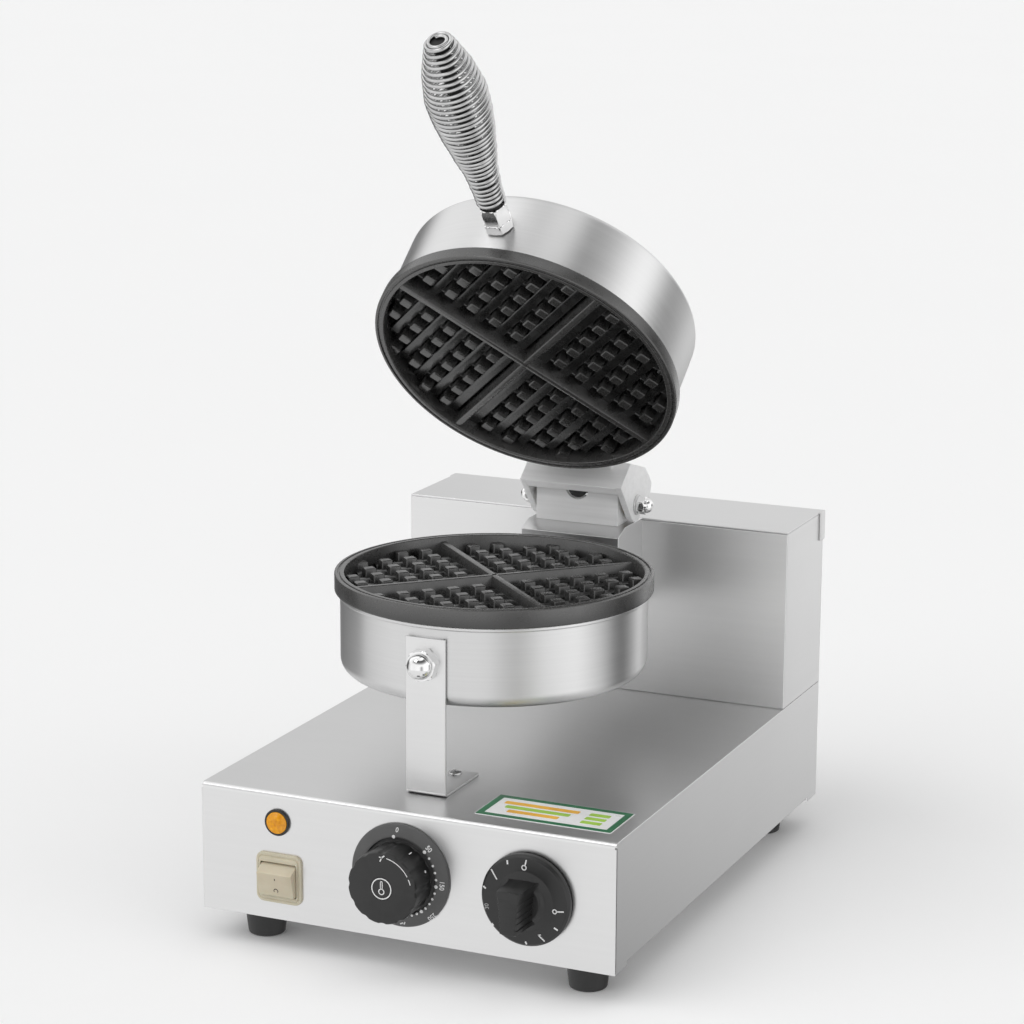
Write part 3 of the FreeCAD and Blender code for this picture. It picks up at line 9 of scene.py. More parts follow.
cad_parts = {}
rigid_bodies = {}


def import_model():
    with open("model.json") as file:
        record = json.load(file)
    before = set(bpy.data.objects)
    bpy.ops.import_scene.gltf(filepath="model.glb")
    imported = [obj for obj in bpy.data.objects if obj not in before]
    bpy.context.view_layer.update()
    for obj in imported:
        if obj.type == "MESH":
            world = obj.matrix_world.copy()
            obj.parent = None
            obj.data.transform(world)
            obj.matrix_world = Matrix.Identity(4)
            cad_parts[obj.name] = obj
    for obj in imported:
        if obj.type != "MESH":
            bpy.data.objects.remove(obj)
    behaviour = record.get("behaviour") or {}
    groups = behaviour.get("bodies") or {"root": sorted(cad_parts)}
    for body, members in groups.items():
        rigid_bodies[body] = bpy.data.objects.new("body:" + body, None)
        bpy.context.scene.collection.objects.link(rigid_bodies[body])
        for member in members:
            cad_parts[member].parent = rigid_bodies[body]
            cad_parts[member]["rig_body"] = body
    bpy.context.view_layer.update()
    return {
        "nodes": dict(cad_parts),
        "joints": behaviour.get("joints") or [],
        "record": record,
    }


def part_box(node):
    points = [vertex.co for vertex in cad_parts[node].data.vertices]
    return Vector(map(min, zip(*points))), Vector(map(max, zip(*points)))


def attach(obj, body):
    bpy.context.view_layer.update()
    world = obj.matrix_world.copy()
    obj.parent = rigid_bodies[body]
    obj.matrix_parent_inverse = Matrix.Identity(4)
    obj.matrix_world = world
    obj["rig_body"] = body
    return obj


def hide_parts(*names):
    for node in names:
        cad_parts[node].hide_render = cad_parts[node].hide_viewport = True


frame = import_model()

MM = 0.001
NODES = frame["nodes"]
SLOTS = {part["node"]: part["material_slot"] for part in frame["record"]["subparts"]}
HINGE = next(joint for joint in frame["joints"] if joint["name"] == "lid_hinge")
random.seed(7)


# ------------------------------------------------------------------ frames, in millimetres
def turned(spot, turns):
    """A frame turned by each (degrees, axis) pair in order."""
    for degrees, axis in turns:
        spot = spot @ Matrix.Rotation(math.radians(degrees), 4, axis)
    return spot


def at(x, y, z, *turns):
    """The frame at a point in millimetres, in Blender's metres."""
    return turned(Matrix.Translation(Vector((x, y, z)) * MM), turns)


def low(node):
    """A CAD node's lowest corner at rest."""
    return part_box(node)[0] / MM


def high(node):
    """A CAD node's highest corner at rest."""
    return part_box(node)[1] / MM


def centre(node):
    return (low(node) + high(node)) / 2


def facing(node, y):
    """The frame of a control: its z axis points out of the front panel."""
    middle = centre(node)
    return at(middle.x, y, middle.z, (90, "X"))


HOME = Matrix.Identity(4)
PIVOT = Matrix.Translation(HINGE["pos_m"])
LID = PIVOT @ Matrix.Rotation(math.radians(HINGE["range_deg"][0]), 4, "X") @ PIVOT.inverted()
PANEL = low("base_shell").y              # the front panel's outer face
BASE_TOP = high("base_shell").z
IRON_Y = centre("lower_drum").y          # the axis of both irons
FACE = high("lower_plate").z             # the faces of the closed plates
LID_FACE = FACE + 0.4


# ------------------------------------------------------------------ shapes: lists of points and faces
def skin(rings, caps=True, looped=False):
    """A closed skin over rings that all have the same number of points."""
    count, total = len(rings[0]), len(rings)
    points = [point for ring in rings for point in ring]
    faces = []
    for level in range(total if looped else total - 1):
        first, second = level * count, (level + 1) % total * count
        for index in range(count):
            after = (index + 1) % count
            faces.append((first + index, first + after, second + after, second + index))
    if caps and not looped:
        faces.append(tuple(reversed(range(count))))
        faces.append(tuple(range((total - 1) * count, total * count)))
    return points, faces


def moved(shape, x=0, y=0, z=0, *turns):
    """A shape turned by each (degrees, axis) pair, then moved."""
    spot = turned(Matrix.Translation((x, y, z)), turns)
    return [tuple(spot @ Vector(point)) for point in shape[0]], shape[1]


def block(near, far):
    """A box between two corners."""
    points = [(x, y, z) for x in (near[0], far[0]) for y in (near[1], far[1]) for z in (near[2], far[2])]
    return points, [(0, 1, 3, 2), (4, 6, 7, 5), (0, 4, 5, 1), (2, 3, 7, 6), (0, 2, 6, 4), (1, 5, 7, 3)]


def contour(corners, closed=True, steps=5):
    """The line through (x, y, radius) corners, each corner rounded by its radius."""
    line = []
    for index, (x, y, radius) in enumerate(corners):
        here = Vector((x, y))
        if not radius or (not closed and index in (0, len(corners) - 1)):
            line.append((x, y))
            continue
        back = Vector(corners[index - 1][:2]) - here
        ahead = Vector(corners[(index + 1) % len(corners)][:2]) - here
        half = back.angle(ahead) / 2
        reach = min(radius / math.tan(half), back.length * 0.49, ahead.length * 0.49)
        hub = here + (back.normalized() + ahead.normalized()).normalized() * reach / math.cos(half)
        start = here + back.normalized() * reach - hub
        end = here + ahead.normalized() * reach - hub
        first = math.atan2(start.y, start.x)
        sweep = (math.atan2(end.y, end.x) - first + math.pi) % math.tau - math.pi
        for step in range(steps + 1):
            angle = first + sweep * step / steps
            line.append((hub.x + start.length * math.cos(angle), hub.y + start.length * math.sin(angle)))
    return line


def rounded(half_x, half_y, radius, steps=4, shift=0):
    """A rounded rectangle in plan."""
    radius = max(radius, 0.05)
    corners = [(half_x, -half_y), (half_x, half_y), (-half_x, half_y), (-half_x, -half_y)]
    return [(x, y + shift) for x, y in contour([(x, y, radius) for x, y in corners], steps=steps)]


def stack(levels):
    """A solid from (outline, z) levels."""
    return skin([[(x, y, z) for x, y in outline] for outline, z in levels])


def lathe(profile, segments=160, looped=False):
    """A solid of revolution of an (r, z) profile about z."""
    angles = [math.tau * index / segments for index in range(segments)]
    return skin([[(r * math.cos(a), r * math.sin(a), z) for a in angles] for r, z in profile],
                caps=not looped, looped=looped)


def polar(radius, segments):
    """An outline from a radius that is a function of the angle."""
    angles = [math.tau * index / segments for index in range(segments)]
    return [(radius(a) * math.cos(a), radius(a) * math.sin(a)) for a in angles]


def hexagon(corner, limit, segments=120):
    """A hexagon whose corners are cut back to a circle."""
    apothem = corner * math.cos(math.pi / 6)
    return polar(lambda a: min(apothem / math.cos(a % (math.pi / 3) - math.pi / 6), limit), segments)


def hex_nut(corner, start, end, chamfer=0.8):
    """A hexagon nut with chamfered ends as levels."""
    apothem = corner * math.cos(math.pi / 6)
    return [(hexagon(corner, apothem + 0.1), start), (hexagon(corner, corner - 0.25), start + chamfer * 0.5),
            (hexagon(corner, corner), start + chamfer), (hexagon(corner, corner), end - chamfer),
            (hexagon(corner, corner - 0.25), end - chamfer * 0.5), (hexagon(corner, apothem + 0.1), end)]


def dome(radius, start, end, steps=14):
    """The rounded cap of an acorn nut as levels."""
    straight = max(end - start - radius, 0.3)
    levels = [(polar(lambda a: radius, 120), start), (polar(lambda a: radius, 120), start + straight)]
    for step in range(1, steps):
        angle = math.pi / 2 * step / steps
        levels.append((polar(lambda a: radius * math.cos(angle), 120),
                       start + straight + (end - start - straight) * math.sin(angle)))
    levels.append((polar(lambda a: 0.05, 120), end))
    return levels


def neighbours(points, index):
    """The step from the point before to the point after, within an open line."""
    return points[min(index + 1, len(points) - 1)] - points[max(index - 1, 0)]


def tube(path, radius, sides):
    """A round wire along a path."""
    points = [Vector(point) for point in path]
    normal = (points[1] - points[0]).orthogonal().normalized()
    rings = []
    for index, point in enumerate(points):
        along = neighbours(points, index).normalized()
        normal = (normal - along * normal.dot(along)).normalized()
        other = along.cross(normal)
        rings.append([tuple(point + (normal * math.cos(math.tau * side / sides)
                                     + other * math.sin(math.tau * side / sides)) * radius)
                      for side in range(sides)])
    return skin(rings)


def ribbon(line, width, z=0.0, height=0.07):
    """A thin raised print mark along a line in plan."""
    points = [Vector(point) for point in line]
    rings = []
    for index, point in enumerate(points):
        along = neighbours(points, index).normalized()
        side = Vector((-along.y, along.x)) * width / 2
        left, right = point + side, point - side
        rings.append([(left.x, left.y, z - 0.02), (right.x, right.y, z - 0.02),
                      (right.x, right.y, z + height), (left.x, left.y, z + height)])
    return skin(rings)


def dot(x, y, radius, z=0.0, height=0.07):
    """A round print mark."""
    return moved(lathe([(radius, -0.02), (radius, height * 0.6), (radius * 0.85, height)], 20), x, y, z)


def arc(radius, start, end, x=0, y=0, steps=24):
    """Points on an arc between two angles in degrees."""
    angles = [math.radians(start + (end - start) * step / steps) for step in range(steps + 1)]
    return [(x + radius * math.cos(a), y + radius * math.sin(a)) for a in angles]


def lettering(text, size, x, y, z=0.0, turn=0.0, height=0.07):
    """Digits as a thin raised print mark, centred on a point."""
    curve = bpy.data.curves.new("digits", "FONT")
    curve.body, curve.size, curve.extrude = text, size, height / 2
    curve.align_x, curve.align_y = "CENTER", "CENTER"
    curve.offset = size * 0.012
    holder = bpy.data.objects.new("digits", curve)
    bpy.context.scene.collection.objects.link(holder)
    bpy.context.view_layer.update()
    mesh = bpy.data.meshes.new_from_object(holder.evaluated_get(bpy.context.evaluated_depsgraph_get()))
    shape = [tuple(v.co) for v in mesh.vertices], [tuple(p.vertices) for p in mesh.polygons]
    bpy.data.objects.remove(holder)
    bpy.data.curves.remove(curve)
    bpy.data.meshes.remove(mesh)
    return moved(shape, x, y, z + height / 2, (turn, "Z"))


# ------------------------------------------------------------------ materials
def combine(nodes, links, mode, factor, first, second):
    """A colour mix of sockets or plain values."""
    mix = nodes.new("ShaderNodeMix")
    mix.data_type, mix.blend_type = "RGBA", mode
    for socket, value in ((0, factor), (6, first), (7, second)):
        if isinstance(value, bpy.types.NodeSocket):
            links.new(value, mix.inputs[socket])
        else:
            mix.inputs[socket].default_value = value
    return mix.outputs[2]


def surface(name, dark, light, rough, grain=(60, 60, 60), cross=None, fine=900, bump=0.15, depth=0.05,
            mottle=9, fade=0.9, painted_top_light=None, **sockets):
    """A material whose colour and gloss wander along a grain, with a fine relief and broad blotches.
    Scales are per metre and depth is in millimetres. rough is the roughness from the grain's low to its
    high. cross is the grain of faces that look along x. fade is the blotches' darkest share. The height
    blend is (z from, z to, colour) in local millimetres: it blends that colour in with height, a painted
    highlight on the tops over painted shade lower down."""
    material = bpy.data.materials.new(name)
    material.use_nodes = True
    nodes, links = material.node_tree.nodes, material.node_tree.links
    shader = nodes["Principled BSDF"]
    for socket, value in sockets.items():
        shader.inputs[socket.replace("_", " ")].default_value = value
    coordinates = nodes.new("ShaderNodeTexCoord")

    def stretched(scale):
        mapping = nodes.new("ShaderNodeMapping")
        mapping.inputs["Scale"].default_value = scale
        links.new(coordinates.outputs["Object"], mapping.inputs["Vector"])
        return mapping.outputs["Vector"]

    def noise(scale, detail, sideways=None):
        spot = stretched(scale)
        if sideways:
            other = stretched(sideways)
            axes = nodes.new("ShaderNodeSeparateXYZ")
            links.new(coordinates.outputs["Normal"], axes.inputs["Vector"])
            square = nodes.new("ShaderNodeMath")
            square.operation = "MULTIPLY"
            links.new(axes.outputs["X"], square.inputs[0])
            links.new(axes.outputs["X"], square.inputs[1])
            choice = nodes.new("ShaderNodeMath")
            choice.operation = "GREATER_THAN"
            choice.inputs[1].default_value = 0.5
            links.new(square.outputs[0], choice.inputs[0])
            chosen = nodes.new("ShaderNodeMix")
            chosen.data_type = "VECTOR"
            links.new(choice.outputs[0], chosen.inputs[0])
            links.new(spot, chosen.inputs[4])
            links.new(other, chosen.inputs[5])
            spot = chosen.outputs[1]
        texture = nodes.new("ShaderNodeTexNoise")
        texture.inputs["Scale"].default_value = 1
        texture.inputs["Detail"].default_value = detail
        links.new(spot, texture.inputs["Vector"])
        return texture.outputs["Fac"]

    def ramp(source, *ends):
        colours = nodes.new("ShaderNodeValToRGB")
        for element, (position, colour) in zip(colours.color_ramp.elements, ends):
            element.position, element.color = position, (*colour, 1)
        links.new(source, colours.inputs["Fac"])
        return colours.outputs["Color"]

    def blend(mode, factor, first, second):
        return combine(nodes, links, mode, factor, first, second)

    streak = noise(grain, 5, cross)
    broad = noise((mottle,) * 3, 3)
    speck = noise((fine,) * 3, 3)
    colour = ramp(streak, (0.32, dark), (0.68, light))
    colour = blend("MULTIPLY", 1.0, colour, ramp(broad, (0.34, (fade,) * 3), (0.62, (1, 1, 1))))
    # the height blend paints the tops lighter: a painted highlight above, painted shade lower down
    if painted_top_light:
        start, end, tone = painted_top_light
        axes = nodes.new("ShaderNodeSeparateXYZ")
        links.new(coordinates.outputs["Object"], axes.inputs["Vector"])
        height = nodes.new("ShaderNodeMapRange")
        height.inputs["From Min"].default_value = start * MM
        height.inputs["From Max"].default_value = end * MM
        links.new(axes.outputs["Z"], height.inputs["Value"])
        colour = blend("MIX", height.outputs["Result"], colour,
                       ramp(speck, (0.3, tuple(0.8 * c for c in tone)), (0.7, tone)))
    links.new(colour, shader.inputs["Base Color"])
    gloss = nodes.new("ShaderNodeMapRange")
    gloss.inputs["From Min"].default_value, gloss.inputs["From Max"].default_value = 0.3, 0.7
    gloss.inputs["To Min"].default_value, gloss.inputs["To Max"].default_value = rough
    links.new(streak, gloss.inputs["Value"])
    links.new(gloss.outputs["Result"], shader.inputs["Roughness"])
    relief = nodes.new("ShaderNodeBump")
    relief.inputs["Strength"].default_value = bump
    relief.inputs["Distance"].default_value = depth * MM
    links.new(speck if cross is None else streak, relief.inputs["Height"])
    links.new(relief.outputs["Normal"], shader.inputs["Normal"])
    if "Anisotropic" in sockets:
        tangent = nodes.new("ShaderNodeTangent")
        tangent.direction_type, tangent.axis = "RADIAL", "Z"
        links.new(tangent.outputs["Tangent"], shader.inputs["Tangent"])
    return material


def grey(value, warm=0.0):
    """A grey, tinted towards red and away from blue by a share."""
    return (value * (1 + warm), value, value * (1 - warm))


LOOKS = {
    "stainless_panel": surface("brushed_stainless_panel", grey(0.688), grey(0.702), (0.288, 0.312),
                               grain=(5, 300, 400), cross=(300, 5, 400), bump=0.004, depth=0.02, fade=0.97,
                               Metallic=1.0),
    "stainless_drum": surface("rolled_stainless_drum", grey(0.64), grey(0.67), (0.33, 0.37),
                              grain=(9, 9, 700), bump=0.02, fade=0.97,
                              Metallic=1.0, Anisotropic=0.8, Anisotropic_Rotation=0.25),
    "zinc_plate": surface("zinc_plated_steel", grey(0.42), grey(0.6), (0.38, 0.5), grain=(90, 90, 90),
                          Metallic=1.0),
    "hinge_casting": surface("satin_hinge_metal", grey(0.86), grey(0.94), (0.3, 0.38), grain=(14, 320, 320),
                             fade=0.94, bump=0.06, Metallic=0.12),
    # the coating is painted lighter with height: a painted highlight on peg tops and rim, painted shade on
    # the floor between
    "nonstick_plate": surface("nonstick_coating", grey(0.005, 0.03), grey(0.01, 0.03), (0.22, 0.32),
                              grain=(160, 160, 160), fine=1600, bump=0.1, depth=0.03,
                              painted_top_light=(3.5, 11, grey(0.05, 0.02)), Specular_IOR_Level=1.0),
    "bright_chrome": surface("bright_chrome", grey(0.8), grey(0.9), (0.05, 0.12), grain=(90, 90, 90),
                             bump=0.005, Metallic=1.0),
    "coil_chrome": surface("chromed_spring_wire", grey(0.5), grey(0.6), (0.05, 0.12), grain=(90, 90, 90),
                           bump=0.04, Metallic=1.0),
    "screw_steel": surface("screw_steel", grey(0.55), grey(0.7), (0.22, 0.34), grain=(200, 200, 200),
                           bump=0.1, Metallic=1.0),
    "heater_sheath": surface("heater_sheath", grey(0.12), grey(0.2), (0.45, 0.6), Metallic=0.8),
    "mineral_wool": surface("mineral_wool", (0.5, 0.46, 0.36), (0.7, 0.66, 0.55), (0.9, 1.0),
                            grain=(300, 300, 60), bump=0.9, depth=0.4),
    "black_rubber": surface("black_rubber", grey(0.012), grey(0.02), (0.5, 0.66), fine=1500, bump=0.3),
    "black_knob": surface("moulded_black_knob", grey(0.008), grey(0.013), (0.34, 0.44), grain=(120, 120, 120),
                          fine=1800, bump=0.25, depth=0.04, Specular_IOR_Level=0.5),
    "black_trim": surface("glossy_black_trim", grey(0.01), grey(0.016), (0.16, 0.26), bump=0.08),
    "cream_plastic": surface("cream_switch_plastic", (0.56, 0.49, 0.36), (0.62, 0.55, 0.42), (0.3, 0.4),
                             grain=(80, 80, 80), fine=1600, bump=0.12, Subsurface_Weight=0.08),
    "amber_lens": surface("amber_lens", (0.62, 0.24, 0.002), (0.86, 0.4, 0.006), (0.16, 0.26),
                          grain=(500, 500, 500), fine=1400, bump=0.5, depth=0.1,
                          Emission_Color=(1, 0.42, 0.02, 1), Emission_Strength=0.06),
    "phenolic": surface("phenolic_body", (0.03, 0.022, 0.016), (0.055, 0.04, 0.03), (0.4, 0.55)),
    # darkened far below brass's own colour: painted shade for the bushes deep in the hinge's gap
    "brass_bush": surface("brass_bush", (0.2, 0.13, 0.05), (0.3, 0.2, 0.08), (0.35, 0.5), Metallic=1.0),
    "cable_sleeve": surface("cable_sleeve", grey(0.025), grey(0.05), (0.55, 0.7), grain=(400, 400, 400),
                            bump=0.6, depth=0.2),
    "label_film": surface("label_film", grey(0.78), grey(0.84), (0.25, 0.35), bump=0.05),
}
# the dial's own dark grey, raised lighter to stand in for its sheen: partly painted sheen
DIAL_FACE = surface("satin_dial_face", grey(0.07), grey(0.085), (0.4, 0.5), grain=(120, 120, 120), fine=1800,
                    bump=0.25, depth=0.04)
# the rod inside the handle coil, near black so the gaps between the turns read dark: painted shade
DARK_HANDLE_ROD = surface("near_black_handle_rod", grey(0.03), grey(0.05), (0.45, 0.6), grain=(200, 200, 200),
                      Metallic=0.6)
PRINT = surface("white_print", grey(0.7), grey(0.86), (0.4, 0.5), grain=(900, 900, 900))
GREY_PRINT = surface("pale_print", grey(0.3), grey(0.4), (0.4, 0.5), grain=(900, 900, 900))
GREEN = surface("green_label_ink", (0.004, 0.1, 0.035), (0.008, 0.15, 0.055), (0.3, 0.4), bump=0.05)
AMBER = surface("amber_label_ink", (0.72, 0.36, 0.02), (0.85, 0.48, 0.05), (0.3, 0.4), bump=0.05)
LIME = surface("lime_label_ink", (0.28, 0.5, 0.04), (0.38, 0.62, 0.08), (0.3, 0.4), bump=0.05)


# ------------------------------------------------------------------ pieces
def dress(thing, look, body, place, nodes):
    """Put a mesh object in its place, on its body, standing for its nodes."""
    bpy.context.scene.collection.objects.link(thing)
    thing.data.materials.append(LOOKS[look] if isinstance(look, str) else look)
    thing.matrix_world = place
    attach(thing, body)
    if nodes:
        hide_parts(*nodes)
    return thing


def piece(name, shapes, look, body="root", place=HOME, nodes=(), upright=False):
    """A smooth-shaded object from shapes in local millimetres. An upright one has the frame's own axes."""
    points, faces = [], []
    for shape in shapes:
        faces += [tuple(index + len(points) for index in face) for face in shape[1]]
        points += [(x * MM, y * MM, z * MM) for x, y, z in shape[0]]
    if upright:
        points = [tuple(place @ Vector(point)) for point in points]
        place = HOME
    mesh = bpy.data.meshes.new(name)
    mesh.from_pydata(points, [], faces)
    work = bmesh.new()
    work.from_mesh(mesh)
    bmesh.ops.remove_doubles(work, verts=work.verts, dist=1e-6)
    bmesh.ops.dissolve_degenerate(work, edges=work.edges, dist=1e-7)
    bmesh.ops.recalc_face_normals(work, faces=work.faces)
    work.to_mesh(mesh)
    work.free()
    mesh.shade_smooth()
    mesh.set_sharp_from_angle(angle=math.radians(32))
    return dress(bpy.data.objects.new(name, mesh), look, body, place, nodes)


def refined(node, name, width, look=None, grooves=()):
    """The CAD node's own shape with its sharp edges broken, and grooves cut in."""
    mesh = bpy.data.meshes.new(name)
    work = bmesh.new()
    work.from_mesh(NODES[node].data)
    bmesh.ops.remove_doubles(work, verts=work.verts, dist=4e-6)
    bmesh.ops.dissolve_limit(work, angle_limit=math.radians(0.5), verts=work.verts, edges=work.edges)
    edges = [edge for edge in work.edges
             if len(edge.link_faces) == 2 and edge.calc_face_angle(0) > math.radians(28)]
    bmesh.ops.bevel(work, geom=edges, offset=width * MM, offset_type="OFFSET", segments=2,
                    profile=0.5, affect="EDGES", clamp_overlap=False)
    work.to_mesh(mesh)
    work.free()
    mesh.shade_smooth()
    mesh.set_sharp_from_angle(angle=math.radians(40))
    thing = bpy.data.objects.new(name, mesh)
    dress(thing, look or SLOTS[node], NODES[node]["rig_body"], HOME, [node])
    for near, far in grooves:
        points, faces = block(near, far)
        cut = bpy.data.meshes.new("cutter")
        cut.from_pydata([(x * MM, y * MM, z * MM) for x, y, z in points], [], faces)
        cutter = bpy.data.objects.new("cutter", cut)
        bpy.context.scene.collection.objects.link(cutter)
        carve = thing.modifiers.new("groove", "BOOLEAN")
        carve.object, carve.solver = cutter, "EXACT"
        bpy.context.view_layer.update()
        carved = bpy.data.meshes.new_from_object(
            thing.evaluated_get(bpy.context.evaluated_depsgraph_get()))
        thing.modifiers.remove(carve)
        bpy.data.objects.remove(cutter)
        thing.data = carved
    soften = thing.modifiers.new("even_normals", "WEIGHTED_NORMAL")
    soften.keep_sharp = True
    return thing


# base and housing: a seam with a relief hole at each front corner, and a joint line under the housing
corner = high("base_shell").x
seams = []
for side in (-1, 1):
    near, far = sorted((side * (corner - 0.9), side * (corner + 1)))
    seams.append(((near, PANEL + 0.7, low("base_shell").z - 1), (far, PANEL + 1.4, BASE_TOP - 2.2)))
    seams.append(((near, PANEL - 1, BASE_TOP - 3.3), (far, PANEL + 1.6, BASE_TOP - 2.1)))
refined("base_shell", "folded_base", width=0.3, grooves=seams)
wall_low, wall_high = low("rear_housing_shell"), high("rear_housing_shell")
LINE_HEIGHT, LINE_DEPTH = 0.5, 0.8
line_top = wall_low.z + LINE_HEIGHT
joint_lines = [(wall_low - Vector((1, 1, 1)), Vector((wall_high.x + 1, wall_low.y + LINE_DEPTH, line_top)))]
joint_lines += [(Vector((x - LINE_DEPTH, wall_low.y + 0.7, wall_low.z - 1)),
                 Vector((x + LINE_DEPTH, wall_high.y + 1, line_top))) for x in (wall_low.x, wall_high.x)]
refined("rear_housing_shell", "rear_housing", width=0.55, grooves=joint_lines)
refined("rear_housing_cover", "rear_housing_lid", width=0.35)
refined("base_bottom_cover", "bottom_cover", width=0.2)
for label in ("front_left", "front_right", "rear_left", "rear_right"):
    node = f"foot_{label}"
    top = high(node).z
    wide = (high(node).x - low(node).x) / 2
    foot = contour([(0.1, 7, 0), (5, 7, 0.5), (5, 0, 0.6), (10.5, 0, 1.4), (wide - 0.6, top - 1.5, 1.5),
                    (wide, top - 0.9, 0.5), (wide, top, 0.5), (2.2, top, 0.2), (2.2, 9, 0.1), (0.1, 9, 0)],
                   closed=False)
    piece(f"rubber_{node}", [lathe(foot, 96)], "black_rubber",
          place=at(centre(node).x, centre(node).y, 0), nodes=[node])

# drums
OUTER, INNER = 87.8, 86.6                # radii of both drums
piece("lower_iron_drum", [lathe(contour([
    (0.05, 0, 0), (OUTER, 0, 8), (OUTER, 44.4, 0.8), (89.3, 44.7, 0.6), (89.3, 46.7, 0.8),
    (INNER, 46.7, 0.3), (INNER, 1, 7), (0.05, 1, 0)], closed=False, steps=10), 240)],
    "stainless_drum", place=at(0, IRON_Y, low("lower_drum").z), nodes=["lower_drum"])
piece("upper_iron_drum", [lathe(contour([
    (0.05, 45, 0), (OUTER, 45, 4.5), (OUTER, 0, 0.3), (INNER, 0, 0.3), (INNER, 44, 3.5), (0.05, 44, 0)],
    closed=False, steps=10), 240)],
    "stainless_drum", "lid", LID @ at(0, IRON_Y, LID_FACE + 8), ["upper_drum"])


# cooking plates
PLATE_DEPTH = 12                         # from a plate's face to its floor
GRID_PITCH, GRID_TURN = 15, -45
FIELD_RADIUS = 84.35                     # where the grid ends, just inside the cup's wall, at the floor
WALL_SLOPE = 8                           # the wall leans out by one millimetre in eight


def grid_plate(rim, divider):
    """A round cup with a grid of blunt pegs, low bars and a raised cross; z runs from floor to face.
    rim is the height of the outer rim, and divider the height of the cross."""
    face = PLATE_DEPTH
    cup = lathe(contour([
        (0.05, 0, 0), (84, 0, 2), (85.5, face, 0.7), (88, face, 0.25), (88, 11.1, 0.2), (89.2, 11.1, 0.2),
        (89.2, face, 0.25), (91, face, 0.9), (91, face - rim, 0.9), (86.3, face - rim, 0.3), (86.3, -6, 1),
        (0.05, -6, 0)], closed=False), 240)
    peg = stack([(rounded(half, half, radius), z) for half, radius, z in (
        (5.0, 1.8, -0.3), (4.25, 1.3, 0.25), (3.95, 1.0, 1.0), (3.35, 0.8, 7.1), (3.2, 0.8, 7.6),
        (2.75, 0.7, 7.95), (2.2, 0.6, 8.0))])
    shapes = [cup]
    sides = [GRID_PITCH * step for step in range(-5, 6) if step]
    for x in sides:
        for y in sides:
            if math.hypot(abs(x) - 4, abs(y) - 4) <= 81:
                shapes.append(moved(peg, x, y))
    for step in range(-5, 5):
        x = GRID_PITCH / 2 + GRID_PITCH * step
        reach = math.sqrt(84.6 ** 2 - (abs(x) + 2) ** 2) + 1
        bar = [(rounded(half, reach, radius), z) for half, radius, z in (
            (3.9, 0.6, -0.3), (3.5, 0.5, 0.4), (3.3, 0.4, 2.9), (3.0, 0.4, 3.5), (2.4, 0.4, 3.8))]
        shapes.append(moved(stack(bar), x))
    wall = stack([(rounded(half, 86, radius), z) for half, radius, z in (
        (4.8, 0.6, -0.3), (4.0, 0.5, 0.4), (2.0, 0.4, divider - 0.9), (1.75, 0.4, divider - 0.3),
        (1.2, 0.4, divider))])
    shapes += [wall, moved(wall, 0, 0, 0, (90, "Z"))]
    for index, (points, faces) in enumerate(shapes[1:], start=1):
        kept = []
        for x, y, z in points:
            limit = FIELD_RADIUS + z / WALL_SLOPE
            shrink = min(1, limit / max(math.hypot(x, y), 0.001))
            kept.append((x * shrink, y * shrink, z))
        shapes[index] = moved((kept, faces), 0, 0, 0, (GRID_TURN, "Z"))
    return shapes


piece("lower_cooking_plate", grid_plate(10.4, 9.3), "nonstick_plate",
      place=at(0, IRON_Y, FACE - PLATE_DEPTH), nodes=["lower_plate"])
piece("upper_cooking_plate", grid_plate(8, 11), "nonstick_plate", "lid",
      LID @ at(0, IRON_Y, LID_FACE + PLATE_DEPTH, (180, "X")), ["upper_plate"])

# front leg
leg_low, leg_high = low("front_leg_bracket"), high("front_leg_bracket")
half, thick = (leg_high.x - leg_low.x) / 2, 1.8
line = contour([(leg_high.y, leg_low.z + thick / 2, 0), (leg_low.y + thick / 2, leg_low.z + thick / 2, 2.6),
                (leg_low.y + thick / 2, leg_high.z, 0)], closed=False, steps=8)
rings = []
bends = [Vector(point) for point in line]
for index, (y, z) in enumerate(line):
    ahead = neighbours(bends, index)
    across = Vector((-ahead.y, ahead.x)).normalized()
    rings.append([(x, y + across.x * d, z + across.y * d) for x, d in rounded(half, thick / 2, 0.35)])
piece("front_leg", [skin(rings)], "stainless_panel", place=at(centre("front_leg_bracket").x, 0, 0),
      nodes=["front_leg_bracket"])
nut_low, nut_high = low("front_leg_nut"), high("front_leg_nut")
piece("front_leg_acorn_nut", [stack(hex_nut(9.4, 0, 6.5)), stack(dome(7.4, 6.2, nut_high.y - nut_low.y))],
      "bright_chrome", place=facing("front_leg_nut", nut_high.y) @ at(0, 0, 0, (12, "Z")),
      nodes=["front_leg_nut"])
screw = centre("front_leg_screw")
piece("front_leg_pan_screw", [lathe(contour([
    (0.05, 1.3, 0), (1.0, 1.3, 0.2), (1.3, 1.85, 0.3), (4.0, 1.0, 0.8), (4.0, 0, 0.2), (1.9, 0, 0),
    (1.9, -8, 0.3), (0.05, -8, 0)], closed=False), 48)], "screw_steel",
    place=at(screw.x, screw.y, leg_low.z + thick), nodes=["front_leg_screw"])

